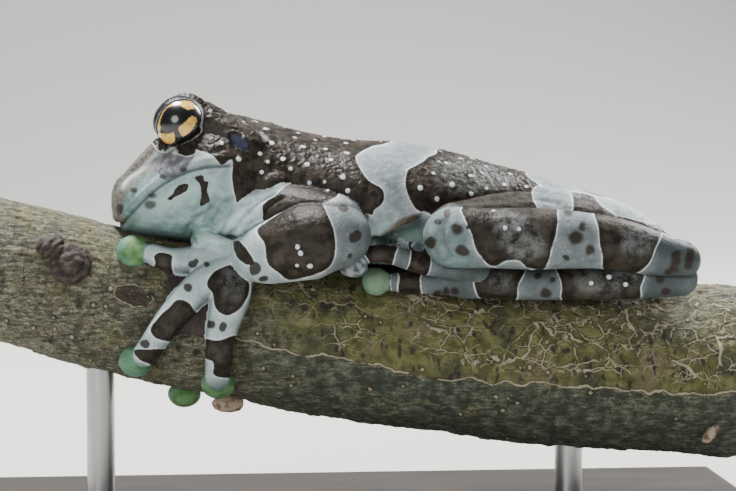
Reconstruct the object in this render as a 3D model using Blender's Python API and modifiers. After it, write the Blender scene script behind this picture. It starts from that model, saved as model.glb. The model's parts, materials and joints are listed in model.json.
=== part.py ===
"""Amazon milk frog, life size, resting on a cut length of branch over a small display stand.

The frog faces -X, its left side is at -Y and +Z is up. The origin lies on the floor, under the
middle of the stand's base. Sizes are millimetres here and become metres in Blender.
Each part of the body is modelled from tubes, balls and lofts, fused into one closed skin, and
then cut back from its neighbours so that a thin gap parts them.
"""

import math

import bmesh
import bpy
import numpy as np
from mathutils import Matrix, Vector

MM = 0.001
GAP = 0.3
LEFT, RIGHT = -1, 1

# stand
BASE_LENGTH, BASE_WIDTH, BASE_HEIGHT = 118.0, 62.0, 6.0
BASE_BEVEL = 1.2
ROD_RADIUS = 2.0
ROD_X = {"stand_rod_front": -38.0, "stand_rod_rear": 30.0}

# branch: a gently sagging, slightly tapered round of wood
BRANCH_HALF_LENGTH = 55.0
BRANCH_HEIGHT, BRANCH_SLOPE, BRANCH_SAG = 30.1, -0.147, 0.0012
BRANCH_RADIUS, BRANCH_TAPER = 11.35, 0.020

# old knot on the near side and a bud below: x, degrees down, lift, radii, axis of the last radius
KNOTS = (
    (-44.3, 57, 0.6, (1.6, 2.0, 1.4), (0, -0.8, 0.6)),
    (-41.6, 66, 0.1, (3.0, 2.9, 1.8), (0, -0.9, 0.4)),
    (-19.8, 166, 0.9, (1.5, 2.3, 1.3), (0, 0, 1)),
)

# frog
EYE_RADIUS = 3.7
EYE_CENTRE = (-26.5, 7.8, 62.3)
EYE_AXIS = (-0.20, 0.95, 0.22)
EYE_OPENING = 1.7
TURRET_RADII = (4.2, 3.95, 4.2)
DISC_FLATNESS = 0.8
DISC_LIFT = 0.9

# trunk sections: x, top, height of greatest width, bottom, half width
TRUNK = (
    (-36.2, 52.2, 51.0, 49.8, 1.4),
    (-35.8, 53.3, 51.0, 48.4, 3.2),
    (-34.8, 54.4, 51.2, 47.0, 5.8),
    (-32.9, 55.8, 51.6, 46.2, 8.5),
    (-30.3, 58.0, 52.3, 45.6, 10.8),
    (-27.0, 61.2, 53.3, 45.2, 12.4),
    (-23.0, 63.2, 54.0, 44.8, 13.2),
    (-19.0, 63.2, 53.6, 44.4, 13.2),
    (-15.0, 62.3, 52.6, 43.8, 12.8),
    (-9.0, 60.7, 51.0, 43.0, 13.4),
    (-2.0, 59.5, 50.2, 42.2, 14.2),
    (5.0, 59.2, 49.6, 41.4, 14.0),
    (12.0, 57.9, 48.8, 40.6, 12.6),
    (19.0, 55.9, 47.8, 40.0, 10.8),
    (26.0, 54.1, 46.8, 39.6, 9.0),
    (32.0, 52.1, 46.0, 39.5, 7.6),
    (36.5, 50.7, 45.8, 40.2, 6.4),
    (40.0, 49.1, 45.4, 41.2, 5.0),
    (43.0, 46.9, 45.0, 42.8, 3.0),
    (44.2, 45.8, 44.8, 43.8, 1.5),
)
HEAD_SECTIONS, TORSO_SECTIONS = TRUNK[:11], TRUNK[4:]
NECK_POINT, NECK_AXIS = (-17.2, 0, 54.3), (0.80, 0, -0.60)
SECTION_STEP = 0.7
RING_POINTS = 40

# limbs: points (x, distance from the middle plane, z) and radii
UPPER_ARM = (((-16.0, 9.2, 49.6), 4.2), ((-10.5, 12.6, 49.4), 4.1), ((-5.6, 14.8, 48.4), 3.9))
FOREARM = (
    ((-4.9, 16.6, 46.8), 4.4),
    ((-9.0, 16.6, 46.0), 5.3),
    ((-14.5, 14.2, 44.2), 4.2),
    ((-19.0, 11.0, 43.0), 2.7),
)
THIGH = (((31.5, 7.4, 46.6), 4.5), ((21.0, 10.4, 47.9), 4.6), ((11.5, 15.0, 47.2), 4.2))
SHANK = (
    ((10.9, 16.8, 46.6), 4.3),
    ((15.0, 17.0, 46.4), 4.1),
    ((22.0, 16.2, 46.2), 4.3),
    ((33.0, 14.4, 45.4), 3.7),
    ((43.6, 12.2, 42.8), 2.8),
)
FOOT = (
    ((43.6, 11.4, 40.2), 2.6),
    ((36.0, 11.4, 39.7), 2.4),
    ((24.0, 11.0, 39.6), 2.4),
    ((13.0, 10.6, 39.7), 2.2),
)
INSTEP = (((40.0, 9.4, 41.2), 2.0), ((26.0, 8.6, 41.4), 2.2), ((14.0, 9.0, 41.9), 2.0))
TOES = (
    (((15.0, 10.6, 39.6), 2.0), ((8.0, 10.2, 39.7), 1.6), ((3.0, 9.9, 39.8), 1.3)),
    (
        ((15.0, 11.4, 41.0), 1.7),
        ((7.0, 13.2, 42.6), 1.5),
        ((-0.4, 13.6, 44.0), 1.2),
        ((-2.4, 13.2, 42.6), 1.1),
    ),
    (((15.0, 11.0, 42.4), 1.6), ((8.6, 12.0, 43.8), 1.3), ((4.6, 12.2, 44.2), 1.1)),
    (((15.0, 10.0, 43.2), 1.5), ((10.5, 11.0, 44.6), 1.2), ((7.6, 11.4, 44.4), 1.1)),
    (((15.6, 9.4, 43.4), 1.4), ((12.4, 9.8, 44.8), 1.2), ((10.6, 10.6, 44.8), 1.1)),
)
TOE_DISCS = (
    ((0.8, 9.7, 39.9), (2.0, 2.0, 2.0)),
    ((-2.6, 13.2, 42.0), (2.0, 1.3, 1.2)),
    ((3.4, 12.2, 44.2), (1.7, 1.5, 1.6)),
    ((6.4, 11.6, 44.2), (1.5, 1.4, 1.5)),
    ((9.4, 11.2, 44.6), (1.4, 1.3, 1.4)),
)

# digits over the bark: x, degrees down from the crest, lift of the middle line, radius
DIGITS = {
    LEFT: (
        ((-18.8, 43, 3.4, 1.9), (-21.2, 41.5, 4.2, 1.5), (-22.7, 39.5, 4.5, 1.3)),
        (
            (-19.4, 44, 2.6, 2.2),
            (-24.0, 48, 2.3, 1.95),
            (-27.6, 51, 2.0, 1.7),
            (-30.6, 49, 1.8, 1.5),
        ),
        (
            (-19.6, 52, 2.6, 2.3),
            (-23.8, 66, 2.5, 2.2),
            (-28.0, 90, 2.2, 1.95),
            (-31.4, 117, 1.9, 1.75),
        ),
        (
            (-18.6, 54, 2.6, 2.3),
            (-19.6, 70, 2.7, 2.7),
            (-21.0, 95, 2.2, 2.0),
            (-21.4, 122, 2.0, 1.8),
        ),
    ),
    RIGHT: (
        ((-18.0, 58, 2.6, 2.0), (-20.6, 46, 1.9, 1.5), (-22.6, 36, 1.6, 1.2)),
        (
            (-19.0, 66, 2.6, 2.2),
            (-24.0, 72, 2.2, 1.7),
            (-28.4, 84, 1.9, 1.55),
            (-31.0, 93, 1.8, 1.4),
        ),
        (
            (-19.4, 76, 2.6, 2.3),
            (-22.4, 98, 2.3, 1.9),
            (-24.8, 132, 2.0, 1.6),
            (-26.0, 162, 1.8, 1.4),
        ),
        (
            (-18.6, 78, 2.6, 2.3),
            (-18.2, 100, 2.5, 2.2),
            (-17.8, 118, 1.9, 1.5),
            (-17.4, 133, 1.6, 1.3),
        ),
    ),
}
DISCS = {  # x, degrees down from the crest, lift, radius
    LEFT: (
        (-23.5, 39, 4.2, 1.6),
        (-32.9, 46, DISC_LIFT, 2.4),
        (-32.7, 128.5, DISC_LIFT, 2.4),
        (-21.3, 134, DISC_LIFT, 2.4),
    ),
    RIGHT: (
        (-23.8, 28, DISC_LIFT, 2.1),
        (-32.8, 98, DISC_LIFT, 2.4),
        (-26.0, 179, DISC_LIFT, 2.4),
        (-17.3, 142, DISC_LIFT, 2.4),
    ),
}
WEBS = (  # the two digits, how far along each the web reaches, and its dip between them
    (1, 2, (0.80, 0.87), 0.12),
    (2, 3, (0.90, 0.80), 0.12),
)
WRISTS = {LEFT: (-17.6, 42, 3.0, 2.7), RIGHT: (-17.2, 58, 3.0, 2.7)}

# mouth line on the side of the head, and small features at (x, distance from middle, z)
MOUTH_HEIGHT, MOUTH_DROP, MOUTH_CORNER = 56.4, 8.4, -19.0
MOUTH_FLOOR = 47.6
NOSTRIL = (-34.7, 2.9, 53.6)
EARDRUM = (-18.6, 59.4)

COLOURS = {
    "skin": (0.30, 0.30, 0.27),
    "pale": (0.52, 0.60, 0.58),
    "eye": (0.45, 0.30, 0.08),
    "bark": (0.20, 0.18, 0.12),
    "steel": (0.60, 0.60, 0.60),
    "base": (0.08, 0.08, 0.08),
}
LOOKS = {"steel": (0.35, 1.0), "eye": (0.08, 0.0), "bark": (0.85, 0.0), "base": (0.45, 0.0)}


def point(x, y, z):
    return Vector((x, y, z)) * MM


def branch_height(x):
    return BRANCH_HEIGHT + BRANCH_SLOPE * x + BRANCH_SAG * x * x


def branch_radius(x):
    return BRANCH_RADIUS + BRANCH_TAPER * x


def on_branch(x, angle, lift, side=LEFT):
    """A point over the bark, angle degrees down from the crest on one side, lift above the wood."""
    reach = branch_radius(x) + lift
    turn = math.radians(angle)
    return (x, side * reach * math.sin(turn), branch_height(x) + reach * math.cos(turn))


def spline(rows, x):
    """The row at x on a smooth curve through rows, whose first value is x."""
    rows = np.array(rows, float)
    at = rows[:, 0]
    slope = np.gradient(rows[:, 1:], at, axis=0)
    i = int(np.clip(np.searchsorted(at, x) - 1, 0, len(at) - 2))
    width = at[i + 1] - at[i]
    t = (x - at[i]) / width
    start, end = rows[i, 1:], rows[i + 1, 1:]
    return (
        start * (1 + 2 * t) * (1 - t) ** 2
        + end * t * t * (3 - 2 * t)
        + width * t * (1 - t) ** 2 * slope[i]
        - width * t * t * (1 - t) * slope[i + 1]
    )


def link(name, data, home="working pieces"):
    """Makes an object in the collection called home."""
    made = bpy.data.objects.new(name, data)
    shelf = bpy.data.collections.get(home)
    if shelf is None:
        shelf = bpy.data.collections.new(home)
        bpy.context.scene.collection.children.link(shelf)
    shelf.objects.link(made)
    return made


def loft(shape, rings):
    """Adds a closed tube through rings of points, with flat ends."""
    loops = [[shape.verts.new(co) for co in ring] for ring in rings]
    count = len(loops[0])
    for near, far in zip(loops, loops[1:]):
        for k in range(count):
            shape.faces.new((near[k], near[(k + 1) % count], far[(k + 1) % count], far[k]))
    shape.faces.new(loops[0][::-1])
    shape.faces.new(loops[-1])


def trunk_ring(x, top, wide, bottom, half_width, fullness=2.2):
    """One cross section of the head or torso: a soft oval, widest at the height called wide."""
    ring = []
    for k in range(RING_POINTS):
        turn = 2 * math.pi * k / RING_POINTS
        c, s = math.cos(turn), math.sin(turn)
        y = half_width * math.copysign(abs(c) ** (2 / fullness), c)
        rise = (top - wide) if s > 0 else (wide - bottom)
        ring.append(point(x, y, wide + rise * math.copysign(abs(s) ** (2 / fullness), s)))
    return ring


def trunk(shape, sections, fullness=2.2):
    first, last = sections[0][0], sections[-1][0]
    steps = round((last - first) / SECTION_STEP)
    stations = [first + (last - first) * k / steps for k in range(steps + 1)]
    loft(shape, [trunk_ring(x, *spline(sections, x), fullness) for x in stations])


def frame_along(axis, across=(0, 0, 1)):
    """A rotation whose Z is axis and whose Y is as near across as it can be."""
    z = Vector(axis).normalized()
    x = Vector(across).cross(z)
    x = x.normalized() if x.length > 1e-6 else z.orthogonal().normalized()
    return Matrix((x, z.cross(x), z)).transposed().to_4x4()


def ball(shape, centre, radii, axis=(0, 0, 1), across=(1, 0, 0)):
    """Adds an ellipsoid: radii along x, y and z of the frame whose Z is axis."""
    radii = (radii,) * 3 if isinstance(radii, (int, float)) else radii
    scale = Matrix.Diagonal((*(Vector(radii) * MM), 1))
    place = Matrix.Translation(point(*centre)) @ frame_along(axis, across) @ scale
    bmesh.ops.create_uvsphere(shape, u_segments=28, v_segments=18, radius=1, matrix=place)


def tube(shape, path, radii):
    """Adds a tube through the path's points with those radii, and a ball at each end."""
    curve = bpy.data.curves.new("tube", "CURVE")
    curve.dimensions = "3D"
    curve.bevel_depth = MM
    curve.bevel_resolution = 4
    curve.resolution_u = 8
    curve.use_fill_caps = True
    line = curve.splines.new("BEZIER")
    line.bezier_points.add(len(path) - 1)
    for knot, co, radius in zip(line.bezier_points, path, radii):
        knot.co = point(*co)
        knot.radius = radius
        knot.handle_left_type = knot.handle_right_type = "AUTO"
    carrier = link("tube", curve)
    graph = bpy.context.evaluated_depsgraph_get()
    shape.from_mesh(bpy.data.meshes.new_from_object(carrier.evaluated_get(graph)))
    bpy.data.objects.remove(carrier)
    bpy.data.curves.remove(curve)
    ball(shape, path[0], radii[0])
    ball(shape, path[-1], radii[-1])


def applied(obj):
    """Bakes the modifiers of obj into its mesh."""
    graph = bpy.context.evaluated_depsgraph_get()
    mesh = bpy.data.meshes.new_from_object(obj.evaluated_get(graph))
    obj.modifiers.clear()
    obj.data = mesh
    return obj


def keep_largest(obj):
    """Drops all but the largest closed surface, such as a scrap that a cut left."""
    shape = bmesh.new()
    shape.from_mesh(obj.data)
    left, groups = set(shape.verts), []
    while left:
        group, todo = set(), [left.pop()]
        while todo:
            vert = todo.pop()
            group.add(vert)
            near = {edge.other_vert(vert) for edge in vert.link_edges} & left
            left -= near
            todo += near
        groups.append(group)
    groups.sort(key=len, reverse=True)
    bmesh.ops.delete(shape, geom=[v for g in groups[1:] for v in g], context="VERTS")
    shape.to_mesh(obj.data)
    shape.free()


def fused(name, shape, voxel, smooth, triangles, sculpt=None):
    """One closed skin over the pieces in shape, smoothed, sculpted and cut down to triangles."""
    mesh = bpy.data.meshes.new(name)
    shape.to_mesh(mesh)
    shape.free()
    obj = link(name, mesh)
    remesh = obj.modifiers.new("Fuse", "REMESH")
    remesh.mode = "VOXEL"
    remesh.voxel_size = voxel * MM
    soften = obj.modifiers.new("Soften", "SMOOTH")
    soften.iterations = smooth
    applied(obj)
    if sculpt:
        sculpt(obj.data)
    decimate = obj.modifiers.new("Lighten", "DECIMATE")
    obj.data.calc_loop_triangles()
    decimate.ratio = min(1.0, triangles / len(obj.data.loop_triangles))
    decimate.use_collapse_triangulate = True
    applied(obj)
    keep_largest(obj)
    return obj


def volume(mesh):
    shape = bmesh.new()
    shape.from_mesh(mesh)
    result = shape.calc_volume()
    shape.free()
    return result


def cut(obj, *others):
    """Takes the others, grown by the gap, away from obj."""
    for other in others:
        grown = link("cutter", other.data.copy())
        swell = grown.modifiers.new("Gap", "DISPLACE")
        swell.strength = GAP * MM
        swell.mid_level = 0
        applied(grown)
        before = obj.data.copy()
        take = obj.modifiers.new("Part", "BOOLEAN")
        take.operation = "DIFFERENCE"
        take.object = grown
        applied(obj)
        if volume(obj.data) < 0.5 * volume(before):
            # a fold in the grown copy can upset the exact solver
            obj.data = before
            take = obj.modifiers.new("Part", "BOOLEAN")
            take.operation = "DIFFERENCE"
            take.solver = "MANIFOLD"
            take.object = grown
            applied(obj)
            print("manifold cut", obj.name, other.name)
        bpy.data.objects.remove(grown)
    keep_largest(obj)


def cut_by(obj, shape):
    """Takes the closed bmesh shape away from obj."""
    mesh = bpy.data.meshes.new("cutter")
    shape.to_mesh(mesh)
    shape.free()
    cutter = link("cutter", mesh)
    take = obj.modifiers.new("Part", "BOOLEAN")
    take.operation = "DIFFERENCE"
    take.object = cutter
    applied(obj)
    bpy.data.objects.remove(cutter)
    keep_largest(obj)


def half_space(shape, centre, axis, size=60.0):
    """Adds a box whose face at centre looks back along axis: what lies beyond is inside it."""
    place = Matrix.Translation(point(*centre)) @ frame_along(axis)
    place = place @ Matrix.Translation(Vector((0, 0, size / 2)) * MM)
    bmesh.ops.create_cube(shape, size=size * MM, matrix=place)


def finish(obj, look):
    material = bpy.data.materials.get(look) or bpy.data.materials.new(look)
    material.use_nodes = True
    shader = material.node_tree.nodes["Principled BSDF"]
    roughness, metallic = LOOKS.get(look, (0.4, 0.0))
    shader.inputs["Base Color"].default_value = (*COLOURS[look], 1)
    shader.inputs["Roughness"].default_value = roughness
    shader.inputs["Metallic"].default_value = metallic
    obj.data.materials.clear()
    obj.data.materials.append(material)
    obj.data.shade_smooth()
    for shelf in list(obj.users_collection):
        shelf.objects.unlink(obj)
    bpy.data.collections["milk frog"].objects.link(obj)
    return obj


def along(path, t):
    """The row of path at t from 0 to 1."""
    rows = [(k / (len(path) - 1), *row) for k, row in enumerate(path)]
    return spline(rows, t)


def limb(shape, path, side):
    tube(shape, [(x, side * y, z) for (x, y, z), _ in path], [radius for _, radius in path])


def web(shape, near, far, side, reach, dip, thickness=1.1, cells=8):
    """Adds the skin between two digits; its free edge curves back by dip."""
    top, low = {}, {}
    for i in range(cells + 1):
        for j in range(cells + 1):
            v = j / cells
            end = (1 - v) * reach[0] + v * reach[1] - dip * 4 * v * (1 - v)
            t = end * i / cells
            x, angle, lift, _ = (1 - v) * along(near, t) + v * along(far, t)
            for layer, height in ((top, thickness / 2), (low, -thickness / 2)):
                layer[i, j] = shape.verts.new(point(*on_branch(x, angle, 1.0 + height, side)))
    for i in range(cells):
        for j in range(cells):
            square = ((i, j), (i + 1, j), (i + 1, j + 1), (i, j + 1))
            shape.faces.new([top[k] for k in square])
            shape.faces.new([low[k] for k in reversed(square)])
    last = range(cells)
    rim = [(0, j) for j in last] + [(i, cells) for i in last]
    rim += [(cells, cells - j) for j in last] + [(cells - i, 0) for i in last]
    for here, there in zip(rim, rim[1:] + rim[:1]):
        shape.faces.new((low[here], low[there], top[there], top[here]))


def mouth_height(x):
    """Height of the line between the lips at x."""
    run = np.clip((MOUTH_CORNER - x) / 15.4, 0, None)
    return np.maximum(MOUTH_HEIGHT - MOUTH_DROP * run**2.6, MOUTH_FLOOR)


def sculpt_head(mesh):
    """Presses in the line of the mouth, the nostrils and the eardrums, and raises the lips."""
    count = len(mesh.vertices)
    co, normal = np.empty(count * 3), np.empty(count * 3)
    mesh.vertices.foreach_get("co", co)
    mesh.vertices.foreach_get("normal", normal)
    co, normal = co.reshape(-1, 3) / MM, normal.reshape(-1, 3)
    x, y, z = co.T
    away = np.abs(y)
    above = z - mouth_height(x)
    lips = np.clip((MOUTH_CORNER + 0.6 - x) / 1.6, 0, 1) * np.clip(away * 2 + 1, 0, 1)
    move = -0.7 * np.exp(-((above / 0.42) ** 2)) + 0.32 * np.exp(-(((above - 1.1) / 0.55) ** 2))
    move += 0.25 * np.exp(-(((above + 1.2) / 0.6) ** 2))
    move *= lips
    pit = np.sqrt((x - NOSTRIL[0]) ** 2 + (away - NOSTRIL[1]) ** 2 + (z - NOSTRIL[2]) ** 2)
    move += 0.25 * np.exp(-((pit - 1.1) ** 2) / 0.16) - 0.75 * np.exp(-((pit / 0.55) ** 2))
    tilt = math.radians(-35)
    dx, dz = x - EARDRUM[0], z - EARDRUM[1]
    u = dx * math.cos(tilt) + dz * math.sin(tilt)
    v = dz * math.cos(tilt) - dx * math.sin(tilt)
    drum = np.sqrt((u / 1.6) ** 2 + (v / 1.05) ** 2)
    move += (away > 6) * (0.28 * np.exp(-(((drum - 1.25) / 0.25) ** 2)))
    move -= (away > 6) * 0.3 * np.clip(1.1 - drum, 0, 0.6)
    co += normal * move[:, None]
    mesh.vertices.foreach_set("co", (co * MM).ravel())
    mesh.update()


def make_eye(name, side):
    shape = bmesh.new()
    place = Matrix.Translation(point(EYE_CENTRE[0], side * EYE_CENTRE[1], EYE_CENTRE[2]))
    place = place @ frame_along((EYE_AXIS[0], side * EYE_AXIS[1], EYE_AXIS[2]))
    bmesh.ops.create_uvsphere(
        shape, u_segments=18, v_segments=10, radius=EYE_RADIUS * MM, matrix=place
    )
    mesh = bpy.data.meshes.new(name)
    shape.to_mesh(mesh)
    shape.free()
    return link(name, mesh)


def make_head():
    shape = bmesh.new()
    trunk(shape, HEAD_SECTIONS)
    for side in (LEFT, RIGHT):
        x, y, z = EYE_CENTRE
        ball(shape, (x, side * (y - 0.1), z), TURRET_RADII)
        tube(shape, [(x + 3.2, side * 6.2, z - 0.4), (x + 9.6, side * 8.4, z - 3.8)], [3.2, 3.0])
        tube(
            shape,
            [(-29.0, side * 6.2, 58.0), (-32.0, side * 4.6, 55.2), (-34.3, side * 2.7, 52.7)],
            [1.9, 1.6, 1.5],
        )
    head = fused("head", shape, 0.36, 6, 2300, sculpt_head)
    for side in (LEFT, RIGHT):
        centre = Vector((EYE_CENTRE[0], side * EYE_CENTRE[1], EYE_CENTRE[2]))
        axis = Vector((EYE_AXIS[0], side * EYE_AXIS[1], EYE_AXIS[2])).normalized()
        opening = bmesh.new()
        start = centre + axis * EYE_OPENING
        place = Matrix.Translation((start + axis * 4) * MM) @ frame_along(axis)
        bmesh.ops.create_cone(
            opening,
            cap_ends=True,
            segments=36,
            radius1=5.2 * MM,
            radius2=5.2 * MM,
            depth=8 * MM,
            matrix=place,
        )
        cut_by(head, opening)
    return head


def make_torso():
    shape = bmesh.new()
    trunk(shape, TORSO_SECTIONS)
    for side in (LEFT, RIGHT):
        ball(shape, (-13.5, side * 8.6, 52.5), (5.2, 4.6, 4.4))
        ball(shape, (27.0, side * 5.0, 48.0), (7.0, 4.6, 4.6))
    return fused("torso", shape, 0.45, 6, 1300)


def make_limb(name, path, side, triangles):
    shape = bmesh.new()
    limb(shape, path, side)
    return fused(name, shape, 0.4, 4, triangles)


def make_hand(name, side):
    """Palm, four webbed digits and their round discs, bent over the bark."""
    shape = bmesh.new()
    x, angle, lift, radius = WRISTS[side]
    digits = DIGITS[side]
    roots = [digit[0] for digit in digits]
    for root in roots:
        tube(
            shape,
            [on_branch(x, angle, lift, side), on_branch(*root[:3], side)],
            [radius * 0.9, root[3]],
        )
    for digit, disc in zip(digits, DISCS[side]):
        steps = [along(digit, k / 9) for k in range(10)]
        path = [on_branch(*row[:3], side) for row in steps]
        centre = on_branch(*disc[:3], side)
        tube(shape, path + [centre], [row[3] for row in steps] + [0.7 * digit[-1][3]])
        up = Vector(on_branch(*disc[:2], 2, side)) - Vector(on_branch(*disc[:2], 1, side))
        ball(shape, centre, (disc[3], disc[3], disc[3] * DISC_FLATNESS), up)
    for first, second, reach, dip in WEBS:
        web(shape, digits[first], digits[second], side, reach, dip)
    return fused(name, shape, 0.3, 3, 850)


def make_foot(name, side):
    """Heel, instep and five toes, folded forward beside the belly."""
    shape = bmesh.new()
    limb(shape, FOOT, side)
    limb(shape, INSTEP, side)
    for toe, (centre, radii) in zip(TOES, TOE_DISCS):
        tip = ((centre[0], centre[1], centre[2]), toe[-1][1])
        limb(shape, toe + (tip,), side)
        ball(shape, (centre[0], side * centre[1], centre[2]), radii, (0, 0, 1), (0, 1, 0))
    return fused(name, shape, 0.3, 3, 950)


def make_branch():
    """A cut length of branch with a broken twig stub on its near side."""
    shape = bmesh.new()
    rings = []
    steps = 56
    for k in range(steps + 1):
        x = BRANCH_HALF_LENGTH * (2 * k / steps - 1)
        ring = []
        for j in range(RING_POINTS):
            turn = 360 * j / RING_POINTS
            wave = 0.18 * math.sin(0.21 * x + 3 * math.radians(turn)) + 0.12 * math.sin(0.4 * x)
            ring.append(point(*on_branch(x, turn, wave)))
        rings.append(ring)
    loft(shape, rings)
    bmesh.ops.recalc_face_normals(shape, faces=shape.faces)
    for x, angle, lift, radii, axis in KNOTS:
        ball(shape, on_branch(x, angle, lift), radii, axis)
    return fused("perch_branch", shape, 0.6, 2, 900)


def make_stand():
    """A flat base, and two upright rods that end just under the branch."""
    shape = bmesh.new()
    size = Matrix.Diagonal((BASE_LENGTH * MM, BASE_WIDTH * MM, BASE_HEIGHT * MM, 1))
    place = Matrix.Translation(point(0, 0, BASE_HEIGHT / 2)) @ size
    bmesh.ops.create_cube(shape, size=1, matrix=place)
    top = [e for e in shape.edges if sum(v.co.z for v in e.verts) > BASE_HEIGHT * MM]
    bmesh.ops.bevel(shape, geom=top, offset=BASE_BEVEL * MM, segments=2, affect="EDGES")
    mesh = bpy.data.meshes.new("stand_base")
    shape.to_mesh(mesh)
    shape.free()
    made = [link("stand_base", mesh)]
    for name, x in ROD_X.items():
        low, high = BASE_HEIGHT + GAP, branch_height(x) - branch_radius(x) + 1.5
        shape = bmesh.new()
        place = Matrix.Translation(point(x, 0, (low + high) / 2))
        bmesh.ops.create_cone(
            shape,
            cap_ends=True,
            segments=28,
            radius1=ROD_RADIUS * MM,
            radius2=ROD_RADIUS * MM,
            depth=(high - low) * MM,
            matrix=place,
        )
        mesh = bpy.data.meshes.new(name)
        shape.to_mesh(mesh)
        shape.free()
        made.append(link(name, mesh))
    return made


def clear_scene():
    for obj in list(bpy.data.objects):
        bpy.data.objects.remove(obj)
    for shelf in list(bpy.data.collections):
        bpy.data.collections.remove(shelf)
    frog = bpy.data.collections.new("milk frog")
    bpy.context.scene.collection.children.link(frog)


def main():
    clear_scene()
    branch = make_branch()
    base, *rods = make_stand()
    eyes = [make_eye("eye_left", LEFT), make_eye("eye_right", RIGHT)]
    head, torso = make_head(), make_torso()
    cut(head, *eyes)

    neck = bmesh.new()
    half_space(neck, NECK_POINT, NECK_AXIS)
    cut_by(head, neck)
    neck = bmesh.new()
    back = Vector(NECK_POINT) + Vector(NECK_AXIS) * GAP
    half_space(neck, back, -Vector(NECK_AXIS))
    cut_by(torso, neck)

    sides = {}
    for word, side in (("left", LEFT), ("right", RIGHT)):
        x, angle, lift, radius = WRISTS[side]
        wrist = on_branch(x, angle, lift, RIGHT)
        arm = {
            "upper": make_limb("upper_arm_" + word, UPPER_ARM, side, 260),
            "fore": make_limb("forearm_" + word, FOREARM[:3] + ((wrist, radius),), side, 360),
            "hand": make_hand("hand_" + word, side),
            "thigh": make_limb("thigh_" + word, THIGH, side, 320),
            "shank": make_limb("shank_" + word, SHANK, side, 400),
            "foot": make_foot("foot_" + word, side),
        }
        cut(arm["upper"], arm["fore"])
        cut(arm["thigh"], arm["shank"])
        cut(head, arm["fore"])
        cut(torso, arm["upper"], arm["fore"], arm["thigh"], arm["shank"])
        cut(arm["hand"], arm["fore"], arm["upper"], head, torso)
        cut(arm["foot"], arm["shank"], arm["thigh"], arm["fore"], torso)
        sides[side] = arm
    cut(head, *(arm["upper"] for arm in sides.values()))
    flesh = [head, torso] + [obj for arm in sides.values() for obj in arm.values()]
    for obj in flesh:
        cut(obj, branch)
    for rod in rods:
        cut(rod, branch)

    for obj in flesh:
        finish(obj, "skin")
    for obj in eyes:
        finish(obj, "eye")
    finish(branch, "bark")
    finish(base, "base")
    for rod in rods:
        finish(rod, "steel")
    bpy.data.collections.remove(bpy.data.collections["working pieces"])
    total = 0
    for obj in bpy.data.objects:
        obj.data.calc_loop_triangles()
        total += len(obj.data.loop_triangles)
        print(obj.name, len(obj.data.loop_triangles))
    print("triangles in all", total)


main()
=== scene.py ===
import json
import math
import time

import bmesh
import bpy
import numpy as np
from mathutils import Matrix, Vector, noise
from mathutils.kdtree import KDTree

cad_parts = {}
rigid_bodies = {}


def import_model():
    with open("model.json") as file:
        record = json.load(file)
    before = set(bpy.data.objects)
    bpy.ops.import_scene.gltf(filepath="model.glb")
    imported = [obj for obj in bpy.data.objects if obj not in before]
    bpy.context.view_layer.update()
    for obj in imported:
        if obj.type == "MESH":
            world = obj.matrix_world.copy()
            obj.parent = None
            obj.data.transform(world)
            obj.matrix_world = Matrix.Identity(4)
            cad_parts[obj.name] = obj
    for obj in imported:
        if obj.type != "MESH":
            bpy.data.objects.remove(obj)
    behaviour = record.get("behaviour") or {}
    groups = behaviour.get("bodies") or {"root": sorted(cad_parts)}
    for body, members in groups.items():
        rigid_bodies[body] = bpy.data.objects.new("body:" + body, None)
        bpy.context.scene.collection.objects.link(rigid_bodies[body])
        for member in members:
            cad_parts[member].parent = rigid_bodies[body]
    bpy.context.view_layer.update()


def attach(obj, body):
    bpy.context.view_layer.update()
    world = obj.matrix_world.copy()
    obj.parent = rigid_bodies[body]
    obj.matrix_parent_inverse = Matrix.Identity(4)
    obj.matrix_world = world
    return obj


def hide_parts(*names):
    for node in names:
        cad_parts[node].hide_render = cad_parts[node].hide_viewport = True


startTime = time.time()
for thing in list(bpy.data.objects):
    bpy.data.objects.remove(thing)
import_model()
mm = 0.001
nearSide, farSide = -1, 1  # the frog's left side is towards -Y, where the camera stands


def report(words):
    print("%5.1f s  %s" % (time.time() - startTime, words), flush=True)


# camera
view = {
    "target": (0.0, -6.0, 44.7),  # mm
    "azimuth": -5.0,
    "elevation": 4.0,
    "distance": 300.0,  # mm
    "near": 0.005,  # m, where the picture starts
    "lens": 103.7,
    "sensor": 36.0,
    "frame": (736, 491),  # pixels
    "pixel": 0.1415,  # mm at the frog's near flank
}
azimuth, elevation = math.radians(view["azimuth"]), math.radians(view["elevation"])
level = math.cos(elevation)
backward = Vector((math.sin(azimuth) * level, -math.cos(azimuth) * level, math.sin(elevation)))
standpoint = Vector(view["target"]) + backward * view["distance"]
camera = bpy.data.objects.new("camera", bpy.data.cameras.new("camera"))
bpy.context.scene.collection.objects.link(camera)
camera.data.lens = view["lens"]
camera.data.sensor_width = view["sensor"]
camera.data.clip_start = view["near"]
camera.location = standpoint * mm
camera.rotation_euler = backward.to_track_quat("Z", "Y").to_euler()
bpy.context.scene.camera = camera


def pixels(co):
    # where points in mm fall in the camera's frame, with the far half mirrored to the near side
    near = co * (1, 0, 1) - np.abs(co) * (0, 1, 0)
    away = -np.array(backward)
    across = np.cross(away, (0, 0, 1))
    across /= np.linalg.norm(across)
    upward = np.cross(across, away)
    offset = near - np.array(standpoint)
    wide, high = view["frame"]
    scale = view["lens"] / view["sensor"] * wide / (offset @ away)
    return np.stack([wide / 2 + offset @ across * scale, high / 2 - offset @ upward * scale], 1)


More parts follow.
